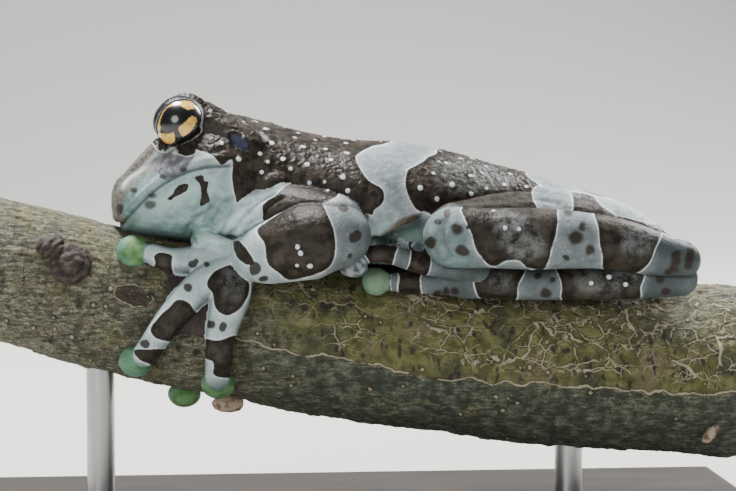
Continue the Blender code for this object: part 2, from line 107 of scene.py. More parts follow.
# curves, fields and noise, all in mm
def splineAt(rows, t):
    # the row at t on a smooth curve through rows, whose first value runs upwards
    rows = np.array(rows, float)
    at = rows[:, 0]
    slope = np.gradient(rows[:, 1:], at, axis=0)
    i = int(np.clip(np.searchsorted(at, t) - 1, 0, len(at) - 2))
    width = at[i + 1] - at[i]
    u = (t - at[i]) / width
    start, end = rows[i, 1:], rows[i + 1, 1:]
    return (
        start * (1 + 2 * u) * (1 - u) ** 2
        + end * u * u * (3 - 2 * u)
        + width * u * (1 - u) ** 2 * slope[i]
        - width * u * u * (1 - u) * slope[i + 1]
    )


def softLine(points, closed, steps=5):
    # a Catmull-Rom line through points
    points = np.array(points, float)
    if closed:
        ring = np.concatenate([points[-1:], points, points[:2]])
    else:
        ring = np.concatenate([points[:1], points, points[-1:]])
    line = []
    for a, b, c, d in zip(ring, ring[1:], ring[2:], ring[3:]):
        for k in range(steps):
            t = k / steps
            line.append(
                0.5 * (2 * b + (c - a) * t + (2 * a - 5 * b + 4 * c - d) * t * t
                       + (3 * b - a - 3 * c + d) * t**3)
            )
    if not closed:
        line.append(points[-1])
    return np.array(line)


def lineDistance(px, line, closed):
    # distance from each point to the line, and whether it lies inside
    far = np.full(len(px), 1e9)
    inside = np.zeros(len(px), bool)
    ends = np.roll(line, -1, axis=0) if closed else line[1:]
    for a, b in zip(line, ends):
        step = b - a
        t = np.clip(((px - a) @ step) / max(step @ step, 1e-9), 0, 1)
        far = np.minimum(far, np.hypot(*(px - a - t[:, None] * step).T))
        if closed and a[1] != b[1]:
            crossing = (a[1] > px[:, 1]) != (b[1] > px[:, 1])
            inside ^= crossing & (px[:, 0] < a[0] + (px[:, 1] - a[1]) * step[0] / step[1])
    return far, inside


def nearby(co, points, margin):
    return np.all((co > points.min(0) - margin) & (co < points.max(0) + margin), axis=1)


def patchField(px, outline, reach=14.0):
    # signed distance in mm, positive inside the outline and worked out up to reach pixels away
    line = softLine(outline, True)
    field = np.full(len(px), -reach)
    close = nearby(px, line, reach)
    far, inside = lineDistance(px[close], line, True)
    field[close] = np.clip(np.where(inside, far, -far), -reach, reach)
    return field * view["pixel"]


def strokeField(px, points, reach=14.0):
    # distance in mm to an open line, up to reach pixels away
    line = softLine(points, False)
    field = np.full(len(px), reach)
    close = nearby(px, line, reach)
    field[close] = np.minimum(lineDistance(px[close], line, False)[0], reach)
    return field * view["pixel"]


def chainField(co, path, radii):
    # signed distance to a limb's skin, and distance along its middle line
    best, along, run = np.full(len(co), 1e9), np.zeros(len(co)), 0.0
    path = np.array(path, float)
    for a, b, ra, rb in zip(path, path[1:], radii, radii[1:]):
        step = b - a
        length = np.linalg.norm(step)
        t = np.clip(((co - a) @ step) / length**2, 0, 1)
        gap = np.linalg.norm(co - a - t[:, None] * step, axis=1) - (ra + (rb - ra) * t)
        closer = gap < best
        best[closer] = gap[closer]
        along[closer] = (run + t * length)[closer]
        run += length
    return best, along


def ripple(co, size, seed=0.0):
    # smooth noise from -1 to 1, with features of about size mm
    shift = Vector((seed * 13.7, seed * 7.1, seed * 3.3))
    return np.array([noise.noise(Vector(p) / size + shift) for p in co.tolist()])


def ease(low, high, value):
    t = np.clip((value - low) / (high - low), 0, 1)
    return t * t * (3 - 2 * t)


def hump(distance, width):
    return np.exp(-((distance / width) ** 2))


# mesh helpers
def point(co):
    return Vector(co) * mm


def frameAlong(axis, across=(0, 0, 1)):
    z = Vector(axis).normalized()
    x = Vector(across).cross(z)
    x = x.normalized() if x.length > 1e-6 else z.orthogonal().normalized()
    return Matrix((x, z.cross(x), z)).transposed().to_4x4()


class Heap:
    # points in metres and the faces between them, gathered before they become one mesh
    def __init__(self):
        self.points, self.faces, self.count = [], [], 0

    def add(self, points, faces):
        self.points.append(np.array(points, float))
        self.faces += [[k + self.count for k in face] for face in faces]
        self.count += len(points)


def ringFaces(rings, around, closed=True):
    faces = []
    for i in range(rings - 1):
        for k in range(around):
            a, b = i * around + k, i * around + (k + 1) % around
            faces.append((a, b, b + around, a + around))
    if closed:
        faces.append(tuple(range(around))[::-1])
        faces.append(tuple(range((rings - 1) * around, rings * around)))
    return faces


def addLoft(heap, rings):
    around = len(rings[0])
    heap.add([tuple(co) for ring in rings for co in ring], ringFaces(len(rings), around))


def addBall(heap, centre, radii, axis=(0, 0, 1), across=(1, 0, 0), rings=31, around=44):
    radii = (radii,) * 3 if isinstance(radii, (int, float)) else radii
    place = Matrix.Translation(point(centre)) @ frameAlong(axis, across)
    place = np.array(place @ Matrix.Diagonal((*(Vector(radii) * mm), 1)))
    polar = np.linspace(math.pi, 0, rings + 2)[1:-1, None]
    turn = np.linspace(0, 2 * math.pi, around, endpoint=False)[None, :]
    ball = np.stack(
        [np.sin(polar) * np.cos(turn), np.sin(polar) * np.sin(turn), np.cos(polar) + 0 * turn], 2
    ).reshape(-1, 3)
    ball = np.concatenate([ball, [(0, 0, -1), (0, 0, 1)]])
    faces = ringFaces(rings, around, False)
    low, high = rings * around, rings * around + 1
    top = (rings - 1) * around
    for k in range(around):
        faces.append((low, (k + 1) % around, k))
        faces.append((high, top + k, top + (k + 1) % around))
    heap.add(ball @ place[:3, :3].T + place[:3, 3], faces)


def addTube(heap, path, radii):
    # a limb: a bevelled curve through the path, with a ball at each end; returns the tube's
    # middle line and its radii
    curve = bpy.data.curves.new("tube", "CURVE")
    curve.dimensions = "3D"
    resolution = 10
    around = 4 + 2 * resolution  # points in each ring of the bevelled curve
    curve.bevel_depth = mm
    curve.bevel_resolution = resolution
    curve.resolution_u = 12
    curve.use_fill_caps = True
    line = curve.splines.new("BEZIER")
    line.bezier_points.add(len(path) - 1)
    for knot, co, radius in zip(line.bezier_points, path, radii):
        knot.co = point(co)
        knot.radius = radius
        knot.handle_left_type = knot.handle_right_type = "AUTO"
    carrier = bpy.data.objects.new("tube", curve)
    bpy.context.scene.collection.objects.link(carrier)
    graph = bpy.context.evaluated_depsgraph_get()
    mesh = bpy.data.meshes.new_from_object(carrier.evaluated_get(graph))
    points = np.array([tuple(v.co) for v in mesh.vertices])
    heap.add(points, [tuple(f.vertices) for f in mesh.polygons])
    bpy.data.objects.remove(carrier)
    bpy.data.meshes.remove(mesh)
    addBall(heap, path[0], radii[0])
    addBall(heap, path[-1], radii[-1])
    rings = points.reshape(-1, around, 3)[2:] / mm  # the first two rings are the caps
    middle = rings.mean(1)
    reach = np.linalg.norm(rings - middle[:, None], axis=2).mean(1)
    keep = list(range(0, len(middle) - 1, 4)) + [len(middle) - 1]
    return middle[keep], reach[keep]


def makeObject(name, heap):
    mesh = bpy.data.meshes.new(name)
    mesh.from_pydata(np.concatenate(heap.points).tolist(), [], heap.faces)
    made = bpy.data.objects.new(name, mesh)
    bpy.context.scene.collection.objects.link(made)
    return made


def fuse(piece, voxel, smoothing):
    # one closed skin over the shapes that overlap in the piece
    remesh = piece.modifiers.new("Fuse", "REMESH")
    remesh.mode = "VOXEL"
    remesh.voxel_size = voxel * mm
    soften = piece.modifiers.new("Soften", "SMOOTH")
    soften.iterations = smoothing
    graph = bpy.context.evaluated_depsgraph_get()
    mesh = bpy.data.meshes.new_from_object(piece.evaluated_get(graph))
    piece.modifiers.clear()
    piece.data = mesh


def readMesh(mesh):
    count = len(mesh.vertices)
    co, normal = np.empty(count * 3), np.empty(count * 3)
    mesh.vertices.foreach_get("co", co)
    mesh.vertices.foreach_get("normal", normal)
    return co.reshape(-1, 3) / mm, normal.reshape(-1, 3)


def writeMesh(mesh, co):
    mesh.vertices.foreach_set("co", (co * mm).ravel())
    mesh.update()


def store(mesh, fields):
    # values that the materials read by name
    for title, values in fields.items():
        layer = mesh.attributes.new(title, "FLOAT", "POINT")
        layer.data.foreach_set("value", np.ascontiguousarray(values, dtype=np.float32))


def pointTree(co):
    tree = KDTree(len(co))
    for index, place in enumerate(co.tolist()):
        tree.insert(place, index)
    tree.balance()
    return tree


def addBump(field, tree, site, size, reach):
    # a round bump of about size mm at the site
    for _, index, gap in tree.find_range(Vector(site), size * reach):
        field[index] = max(field[index], math.exp(-((gap / size) ** 2)))


# the branch's line, which the hands and feet follow
branch = {
    "halfLength": 55.0,
    "height": (30.1, -0.147, 0.0012),  # of its middle line: constant, slope, sag
    "radius": (11.35, 0.020),
    "girthRadius": 11.4,  # for lengths measured round the bark
    "rings": 700,
    "around": 420,
    "capRings": 16,
    "cells": ((7.5, 4.2), (3.4, 1.9)),  # of the cracked bark's plates, along and around
    # the bark's relief
    "ridge": 0.17,
    "scarDepth": 0.2,
    "splitRidge": 0.22,
    "fibre": 0.09,
    "flake": 0.15,
    "rough": 0.11,
    "poreHeight": 0.26,
    "waves": (0.10, 0.12),  # the smaller, and the broader
    "pores": 170,
    "poreSize": (0.2, 0.46),
    "poreAngle": (115, 32),  # degrees down from the crest: the middle, and how far they spread
    "scar": (-33.1, 38.3, 2.1, 1.3, 0.6),  # x, z, half length, half height, slant
    "seed": 11,
    "knotVoxel": 0.13,
    "knotSmoothing": 4,
    "knotRings": 7.5,  # ripples round the old knot, in radians to the mm
    "stub": ((48.6, 129, 0.5), (0.75, 0.75, 1.7), (0.55, -0.35, 0.75)),
    "knots": (  # x, degrees down, lift, radii, axis of the last radius
        (-44.3, 57, 0.6, (1.6, 2.0, 1.4), (0, -0.8, 0.6)),
        (-41.6, 66, 0.1, (3.0, 2.9, 1.8), (0, -0.9, 0.4)),
        (-19.8, 166, 0.9, (1.5, 2.3, 1.3), (0, 0, 1)),
    ),
}


def branchHeight(x):
    a, b, c = branch["height"]
    return a + b * x + c * x * x


def branchRadius(x):
    return branch["radius"][0] + branch["radius"][1] * x


def branchWave(x, turn):
    return 0.18 * np.sin(0.21 * x + 3 * turn) + 0.12 * np.sin(0.4 * x)


def onBranch(x, angle, lift, side=nearSide):
    reach = branchRadius(x) + lift
    turn = math.radians(angle)
    return (x, side * reach * math.sin(turn), branchHeight(x) + reach * math.cos(turn))


# the frog's forms
frog = {
    # x, top, height of greatest width, bottom, half width
    "trunk": (
        (-36.2, 52.2, 51.0, 49.8, 1.4),
        (-35.8, 53.3, 51.0, 48.4, 3.2),
        (-34.8, 54.4, 51.2, 47.0, 5.8),
        (-32.9, 55.8, 51.6, 46.2, 8.5),
        (-30.3, 58.0, 52.3, 45.6, 10.8),
        (-27.0, 61.2, 53.3, 45.2, 12.4),
        (-23.0, 63.2, 54.0, 44.8, 13.2),
        (-19.0, 63.2, 53.6, 44.4, 13.2),
        (-15.0, 62.3, 52.6, 43.8, 12.8),
        (-9.0, 60.7, 51.0, 43.0, 13.4),
        (-2.0, 59.5, 50.2, 42.2, 14.2),
        (5.0, 59.2, 49.6, 41.4, 14.0),
        (12.0, 57.9, 48.8, 40.6, 12.6),
        (19.0, 55.9, 47.8, 40.0, 10.8),
        (26.0, 54.1, 46.8, 39.6, 9.0),
        (32.0, 52.1, 46.0, 39.5, 7.6),
        (36.5, 50.7, 45.8, 40.2, 6.4),
        (40.0, 49.1, 45.4, 41.2, 5.0),
        (43.0, 46.9, 45.0, 42.8, 3.0),
        (44.2, 45.8, 44.8, 43.8, 1.5),
    ),
    "fullness": 2.2,
    "eyeCentre": (-26.5, 7.8, 62.3),
    "turret": ((0.15, -0.1, -0.1, 3.6), (0.9, -0.9, 0.3, 3.6)),  # offsets from the eye, and radius
    "brow": (((-23.3, 6.2, 61.9), 3.2), ((-16.9, 8.4, 58.5), 3.0)),
    "snoutRidge": (
        ((-29.0, 6.2, 58.0), 1.9),
        ((-32.0, 4.6, 55.2), 1.6),
        ((-34.3, 2.7, 52.7), 1.5),
    ),
    "shoulder": ((-13.5, 8.6, 52.5), (5.2, 4.6, 4.4)),
    "hip": ((27.0, 5.0, 48.0), (7.0, 4.6, 4.6)),
    "discFlatness": 0.8,
    "around": 96,
    "stations": 230,
    "voxel": 0.21,
    "smoothing": 7,
}
limbs = {
    "upperArm": (((-16.0, 9.2, 49.6), 4.2), ((-10.5, 12.6, 49.4), 4.1), ((-5.6, 14.8, 48.4), 3.9)),
    "forearm": (
        ((-4.9, 16.6, 46.8), 4.4),
        ((-9.0, 16.6, 46.0), 5.3),
        ((-14.5, 14.2, 44.2), 4.2),
    ),
    "thigh": (((31.5, 7.4, 46.6), 4.5), ((21.0, 10.4, 47.9), 4.6), ((11.5, 15.0, 47.2), 4.2)),
    "shank": (
        ((10.9, 16.8, 46.6), 4.3),
        ((15.0, 17.0, 46.4), 4.1),
        ((22.0, 16.2, 46.2), 4.3),
        ((33.0, 14.4, 45.4), 3.7),
        ((43.6, 12.2, 42.8), 2.8),
    ),
    "foot": (
        ((43.6, 11.4, 40.2), 2.6),
        ((36.0, 11.4, 39.7), 2.4),
        ((24.0, 11.0, 39.6), 2.4),
        ((13.0, 10.6, 39.7), 2.2),
    ),
    "instep": (((40.0, 9.4, 41.2), 2.0), ((26.0, 8.6, 41.4), 2.2), ((14.0, 9.0, 41.9), 2.0)),
}
toes = (  # path and radii, then the disc's centre and radii
    ((((15.0, 10.6, 39.6), 2.0), ((8.0, 10.2, 39.7), 1.6), ((3.0, 9.9, 39.8), 1.3)),
     (0.8, 9.7, 39.9), (2.0, 2.0, 2.0)),
    ((((15.0, 11.4, 41.0), 1.7), ((7.0, 13.2, 42.6), 1.5), ((-0.4, 13.6, 44.0), 1.2),
      ((-2.4, 13.2, 42.6), 1.1)),
     (-2.6, 13.2, 42.0), (2.0, 1.3, 1.2)),
    ((((15.0, 11.0, 42.4), 1.6), ((8.6, 12.0, 43.8), 1.3), ((4.6, 12.2, 44.2), 1.1)),
     (3.4, 12.2, 44.2), (1.7, 1.5, 1.6)),
    ((((15.0, 10.0, 43.2), 1.5), ((10.5, 11.0, 44.6), 1.2), ((7.6, 11.4, 44.4), 1.1)),
     (6.4, 11.6, 44.2), (1.5, 1.4, 1.5)),
    ((((15.6, 9.4, 43.4), 1.4), ((12.4, 9.8, 44.8), 1.2), ((10.6, 10.6, 44.8), 1.1)),
     (9.4, 11.2, 44.6), (1.4, 1.3, 1.4)),
)
# fingers over the bark: x, degrees down from the crest, lift, radius; last the disc's x, angle,
# lift and radius
fingers = {
    nearSide: (
        (((-18.8, 43, 3.4, 1.9), (-21.2, 41.5, 4.2, 1.5), (-22.7, 39.5, 4.5, 1.3)),
         (-23.5, 39, 4.2, 1.6)),
        (((-19.4, 44, 2.6, 2.2), (-24.0, 48, 2.3, 1.95), (-27.6, 51, 2.0, 1.7),
          (-30.6, 49, 1.8, 1.5)), (-32.9, 46, 0.9, 2.4)),
        (((-19.6, 52, 2.6, 2.3), (-23.8, 66, 2.5, 2.2), (-28.0, 90, 2.2, 1.95),
          (-31.4, 117, 1.9, 1.75)), (-32.7, 128.5, 0.9, 2.4)),
        (((-18.6, 54, 2.6, 2.3), (-19.6, 70, 2.7, 2.7), (-21.0, 95, 2.2, 2.0),
          (-21.4, 122, 2.0, 1.8)), (-21.3, 134, 0.9, 2.4)),
    ),
    farSide: (
        (((-18.0, 58, 2.6, 2.0), (-20.6, 46, 1.9, 1.5), (-22.6, 36, 1.6, 1.2)),
         (-23.8, 28, 0.9, 2.1)),
        (((-19.0, 66, 2.6, 2.2), (-24.0, 72, 2.2, 1.7), (-28.4, 84, 1.9, 1.55),
          (-31.0, 93, 1.8, 1.4)), (-32.8, 98, 0.9, 2.4)),
        (((-19.4, 76, 2.6, 2.3), (-22.4, 98, 2.3, 1.9), (-24.8, 132, 2.0, 1.6),
          (-26.0, 162, 1.8, 1.4)), (-26.0, 179, 0.9, 2.4)),
        (((-18.6, 78, 2.6, 2.3), (-18.2, 100, 2.5, 2.2), (-17.8, 118, 1.9, 1.5),
          (-17.4, 133, 1.6, 1.3)), (-17.3, 142, 0.9, 2.4)),
    ),
}
webs = (  # the two fingers, how far along each the web reaches, and its dip between them
    (1, 2, (0.80, 0.87), 0.12),
    (2, 3, (0.90, 0.80), 0.12),
)
wrists = {nearSide: (-17.6, 42, 3.0, 2.7), farSide: (-17.2, 58, 3.0, 2.7)}


def trunkRing(x, top, wide, bottom, halfWidth):
    ring = []
    power = 2 / frog["fullness"]
    for k in range(frog["around"]):
        turn = 2 * math.pi * k / frog["around"]
        c, s = math.cos(turn), math.sin(turn)
        rise = (top - wide) if s > 0 else (wide - bottom)
        y = halfWidth * math.copysign(abs(c) ** power, c)
        ring.append(point((x, y, wide + rise * math.copysign(abs(s) ** power, s))))
    return ring


def alongFinger(rows, t):
    return splineAt([(k / (len(rows) - 1), *row) for k, row in enumerate(rows)], t)


def addWeb(heap, near, far, side, reach, dip, lift=1.0, thickness=0.8, cells=16):
    # the skin between two fingers, whose free edge curves back by dip
    layers, stride = [], cells + 1
    for height in (thickness / 2, -thickness / 2):
        for i in range(cells + 1):
            for j in range(cells + 1):
                v = j / cells
                end = (1 - v) * reach[0] + v * reach[1] - dip * 4 * v * (1 - v)
                here, there = (alongFinger(rows, end * i / cells) for rows in (near, far))
                x, angle, _, _ = (1 - v) * here + v * there
                layers.append(tuple(point(onBranch(x, angle, lift + height, side))))
    low = stride**2
    faces = []
    for i in range(cells):
        for j in range(cells):
            a = i * stride + j
            square = (a, a + stride, a + stride + 1, a + 1)
            faces += [square, tuple(low + k for k in square[::-1])]
    steps = range(cells)
    rim = [(0, j) for j in steps] + [(i, cells) for i in steps]
    rim += [(cells, cells - j) for j in steps] + [(cells - i, 0) for i in steps]
    rim = [i * stride + j for i, j in rim]
    for here, there in zip(rim, rim[1:] + rim[:1]):
        faces.append((low + here, low + there, there, here))
    heap.add(layers, faces)


def sided(path, side):
    return [(x, side * y, z) for (x, y, z), _ in path], [radius for _, radius in path]


def buildFrog():
    # every form in one shape, and the list of limb chains that the markings follow
    heap = Heap()
    chains, discs = [], []
    first, last = frog["trunk"][0][0], frog["trunk"][-1][0]
    count = frog["stations"]
    stations = [first + (last - first) * k / count for k in range(count + 1)]
    addLoft(heap, [trunkRing(x, *splineAt(frog["trunk"], x)) for x in stations])
    for side in (nearSide, farSide):
        x, y, z = frog["eyeCentre"]
        for ahead, inward, up, radius in frog["turret"]:
            addBall(heap, (x + ahead, side * (y + inward), z + up), radius)
        for path in (frog["brow"], frog["snoutRidge"]):
            addTube(heap, *sided(path, side))
        for (x, y, z), radii in (frog["shoulder"], frog["hip"]):
            addBall(heap, (x, side * y, z), radii)
        for name, path in limbs.items():
            places, radii = sided(path, side)
            if name == "forearm":
                x, angle, lift, radius = wrists[side]
                places.append(onBranch(x, angle, lift, side))
                radii.append(radius)
            chains.append((name, side, *addTube(heap, places, radii)))
        for order, (path, centre, radii) in enumerate(toes):
            places, sizes = sided(path, side)
            tip = (centre[0], side * centre[1], centre[2])
            chains.append(("toe", side, *addTube(heap, places + [tip], sizes + [sizes[-1]])))
            addBall(heap, tip, radii, (0, 0, 1), (0, 1, 0))
            discs.append((tip, max(radii), "toe", order))
        x, angle, lift, radius = wrists[side]
        wrist = onBranch(x, angle, lift, side)
        for order, (rows, disc) in enumerate(fingers[side]):
            root = onBranch(*rows[0][:3], side)
            addTube(heap, [wrist, root], [radius * 0.9, rows[0][3]])
            steps = [alongFinger(rows, t) for t in np.linspace(0, 1, 10)]
            places = [onBranch(*row[:3], side) for row in steps]
            centre = onBranch(*disc[:3], side)
            places.append(centre)
            sizes = [row[3] for row in steps] + [0.7 * rows[-1][3]]
            addTube(heap, places, sizes)
            chains.append(("finger", side, [wrist] + places, [radius] + sizes))
            up = Vector(onBranch(*disc[:2], 2, side)) - Vector(onBranch(*disc[:2], 1, side))
            addBall(heap, centre, (disc[3], disc[3], disc[3] * frog["discFlatness"]), up)
            discs.append((centre, disc[3], "finger", order))
        for one, other, reach, dip in webs:
            addWeb(heap, fingers[side][one][0], fingers[side][other][0], side, reach, dip)
    return heap, chains, discs


heap, chains, discs = buildFrog()
report("frog forms gathered")
skin = makeObject("frog_skin", heap)
fuse(skin, frog["voxel"], frog["smoothing"])
report("frog skin fused, %d points" % len(skin.data.vertices))


# which part of the body each point belongs to
def labelSkin(co):
    # the closest limb's name, the distance left to its tip, which finger or toe it is, and how
    # near the fold between two limbs lies; the name is the trunk's where no limb is near
    best = np.full(len(co), 0.4)
    name = np.full(len(co), "trunk", dtype="<U10")
    toTip, digit = np.full(len(co), 50.0), np.full(len(co), -1)
    gaps = {key: np.full(len(co), 5.0) for key in ("upperArm", "forearm", "thigh", "shank", "foot")}
    orders = {}
    for kind, side, path, radii in chains:
        order = orders[kind, side] = orders.get((kind, side), -1) + 1
        places = np.array(path)
        close = nearby(co, places, max(radii) + 1.5)
        gap, along = chainField(co[close], path, radii)
        length = np.linalg.norm(np.diff(places, axis=0), axis=1).sum()
        group = "foot" if kind in ("instep", "toe") else kind
        if group in gaps:
            gaps[group][close] = np.minimum(gaps[group][close], gap)
        won = gap < best[close]
        index = np.flatnonzero(close)[won]
        best[index] = gap[won]
        name[index], digit[index] = kind, order
        toTip[index] = length - along[won]
    lift = np.hypot(co[:, 1], co[:, 2] - branchHeight(co[:, 0])) - branchRadius(co[:, 0])
    down = np.degrees(np.arctan2(np.abs(co[:, 1]), co[:, 2] - branchHeight(co[:, 0])))
    name[(name == "trunk") & (co[:, 0] < -17) & (lift < 2.2) & (down > 50)] = "web"
    crease = np.zeros(len(co))
    for first, second in (("upperArm", "forearm"), ("thigh", "shank"), ("shank", "foot")):
        touching = np.maximum(gaps[first], gaps[second]) < 1.2
        crease = np.maximum(crease, hump(gaps[first] - gaps[second], 0.26) * touching)
    return name, toTip, digit, crease


# marks read from the photograph, in its pixels
marks = {
    "face": (
        (100, 110), (146, 132), (152, 142), (160, 150), (176.5, 152), (186, 155.5), (194, 154),
        (196, 149.5), (200, 151.4), (206, 152.4), (213, 156.5), (218, 161.6), (222, 163.7),
        (232, 160), (232, 177), (233, 187), (235.5, 198.4), (236.5, 203), (245, 197),
        (263, 193), (278, 184), (287, 184), (292, 200), (330, 224), (363, 219),
        (363, 300), (100, 300),
    ),
    "saddle": (
        (356, 159), (359, 153), (373, 146), (387, 143), (394, 138), (396, 128), (434, 128),
        (434, 138), (437, 150), (425, 160), (410, 168), (406, 175), (405, 184), (408, 194),
        (413, 204), (419, 211), (430, 214), (470, 240), (470, 300), (350, 300), (350, 260),
        (363, 217), (372, 216), (375, 210), (382, 203), (384, 194), (380, 187), (368, 180),
        (360, 169),
    ),
    "rearStripe": (
        (525, 172), (541, 171.5), (560.5, 179), (590, 193), (607, 197), (628, 204),
        (655, 217.6), (659, 226), (655, 225), (631, 219), (611, 213), (599, 203), (592, 196),
        (568, 192), (548, 191), (534, 181),
    ),
    "thighPatch": ((533, 188), (566, 186), (573, 212), (542, 212)),
    "jawA": (
        (180.4, 184), (188.6, 184), (188, 190), (183.5, 193), (176, 196), (171, 199.4),
        (167, 198.4), (173, 193), (175, 188),
    ),
    "jawB": (
        (194.5, 178), (200, 175.4), (203.4, 176.4), (204.4, 180.5), (208.5, 182), (208.5, 186),
        (207, 191), (209.5, 200.4), (206, 203), (200, 206), (199, 202), (201, 195), (201, 187),
        (199, 183),
    ),
    "upperArm": (
        (262, 218), (262, 206), (268, 199), (278, 193), (288, 185), (300, 178), (330, 176),
        (340, 190), (330, 200), (318, 203), (300, 206), (284, 213), (270, 222),
    ),
    "forearm": (
        (257, 231), (266, 222), (289, 208), (305, 199), (318, 199), (325, 210), (334, 233),
        (334.4, 252), (329.6, 265.6), (314, 275), (291, 280), (280, 275), (268, 262),
        (264.5, 243),
    ),
    "knuckle": (
        (210, 277), (217, 270), (231, 265), (243, 270), (250, 285), (246, 300), (238, 310),
        (228, 316), (219, 312), (214, 304), (212, 293), (207, 286),
    ),
    "wristBand": ((233, 244), (241, 242), (254, 262), (248, 265), (238, 258)),
    "fingerTwo": (
        (154, 256), (160, 253), (171, 255), (172, 264), (171, 290), (158, 290), (152, 272),
        (155, 263),
    ),
    "fingerThree": (
        (177, 300), (190, 304), (197, 320), (186, 334), (172, 342), (158, 339), (151, 332),
        (152, 325), (160, 316), (169, 308),
    ),
    "fingerTip": (
        (134, 350), (147, 349), (158, 349), (168, 352), (162, 368), (148, 364), (138, 358),
    ),
    "fingerFour": (
        (203, 341), (218, 340), (240, 338), (240, 374), (215, 376), (213, 362), (203, 357),
    ),
    "chest": (
        (236, 206), (246, 198), (264, 193), (280, 185), (290, 186), (284, 200), (268, 216),
        (256, 232), (244, 242), (226, 246), (206, 240), (222, 222), (232, 214),
    ),
    "shankFirst": (
        (462, 209), (471, 232), (476, 249), (485, 261), (494, 266), (507, 261), (519, 260),
        (529, 268), (544, 269), (552, 249), (556, 230), (556.5, 208), (546, 203), (510, 198),
        (476, 201),
    ),
    "shankSecond": (
        (592, 208), (598, 224), (600.5, 242), (602, 254), (607, 274), (631, 274),
        (645, 268), (655, 249), (661, 234), (659, 227), (631, 218), (604, 207),
    ),
    "shankCorner": ((656, 224), (664, 219), (676, 228), (678, 236), (668, 236)),
    "footNear": ((397, 276), (414, 276), (419, 285), (418, 295), (398, 295)),
    "footFirst": (
        (478, 258), (474.5, 283), (485, 302), (513, 302), (518, 285), (528, 262), (520, 256),
    ),
    "footSecond": (
        (561, 258), (562, 283), (568, 302), (632, 302), (641, 285), (646, 264), (640, 256),
    ),
    "snoutTop": (
        (148, 140), (157, 148), (152, 168), (138, 180), (128, 190), (122, 205), (124, 224),
        (100, 224), (98, 170),
    ),
    "lavender": (
        (155, 160), (158, 151), (168, 147), (180, 150), (193, 154), (190, 163), (183, 170),
        (173, 176), (164, 176), (156, 170),
    ),
    "flank": (
        (380, 236), (390, 226), (404, 217), (417, 213), (419, 219), (409, 226), (397, 232),
        (386, 239),
    ),
    "hollow": (
        (372, 246), (384, 240), (398, 234), (410, 228), (421, 221), (426, 230), (428, 246),
        (410, 252), (388, 254),
    ),
    "cloudFirst": (
        (494, 216), (512, 210), (534, 224), (546, 244), (534, 258), (512, 258), (500, 240),
    ),
    "cloudSecond": ((622, 232), (648, 232), (652, 246), (640, 256), (622, 250)),
    "cloudFoot": ((576, 266), (632, 266), (636, 288), (584, 292)),
    "cloudInstep": ((489, 268), (508, 266), (513, 286), (494, 291)),
    "knuckleSheen": ((224, 268), (238, 270), (244, 286), (238, 300), (224, 292)),
    "cloudBack": ((436, 164), (470, 158), (500, 164), (510, 182), (486, 194), (446, 190)),
}
spots = {  # x, y, radius and softness of brown spots, by part
    "trunk": ((248, 205, 1.6, 0.3),),
    "forearm": (
        (343, 207, 5.0, 0.35), (355.4, 237, 6.0, 0.3), (255, 268, 6.0, 0.3),
        (264.5, 279, 4.0, 0.5), (351, 255, 2.5, 0.5),
    ),
    "shank": (
        (447, 214, 4.4, 0.4), (430.5, 242.5, 5.4, 0.5), (462, 251.5, 6.0, 0.5),
        (457, 229, 6.4, 0.9), (575, 238, 8.0, 0.8), (590, 250.5, 5.6, 0.7),
        (569, 211, 5.0, 1.0), (566, 258, 3.0, 0.6), (438, 222, 3.4, 0.8), (583, 226, 5.0, 1.1),
        (468, 226, 2.4, 0.5), (675, 256, 4.6, 0.8), (676, 262, 5.6, 0.8), (674, 268, 5.2, 0.8),
        (669, 272, 4.0, 0.9), (689.6, 245, 4.0, 0.8), (690, 250, 4.8, 0.8), (690, 255, 5.0, 0.8),
        (690, 260, 5.0, 0.8), (689, 265, 4.6, 0.8),
    ),
    "foot": (
        (660, 278, 5.0, 0.6), (665, 291.5, 4.6, 0.5), (545, 292, 5.6, 0.7),
        (538, 275, 3.4, 0.8), (672, 268, 4.0, 0.6), (553, 280, 3.0, 0.9),
        (437, 293, 4.0, 0.8), (446, 292, 4.4, 0.7), (455, 291, 4.2, 0.8), (692, 268, 3.0, 0.8),
    ),
    "finger": (
        (234.4, 246.7, 3.6, 0.3), (192.6, 265, 4.0, 0.4), (206.7, 265, 3.2, 0.8),
        (188.2, 288.7, 4.2, 0.3), (145, 343, 4.6, 0.3), (210.8, 323.6, 4.2, 0.3),
        (223, 327.5, 4.2, 0.3), (196, 262, 2.6, 0.5),
    ),
    "toe": ((437, 293, 4.0, 0.8), (446, 292, 4.4, 0.7), (455, 291, 4.2, 0.8)),
}
smudges = (  # x, y, half length and half height of soft dark patches on the head
    (151, 205.5, 7.5, 5.0), (120, 208.6, 4.6, 6.5), (133.5, 190, 4.5, 3.5), (163, 177.5, 4, 2.5),
    (152, 196, 6.0, 3.0), (118, 222, 4.0, 4.0), (183, 170, 4.0, 2.4),
)
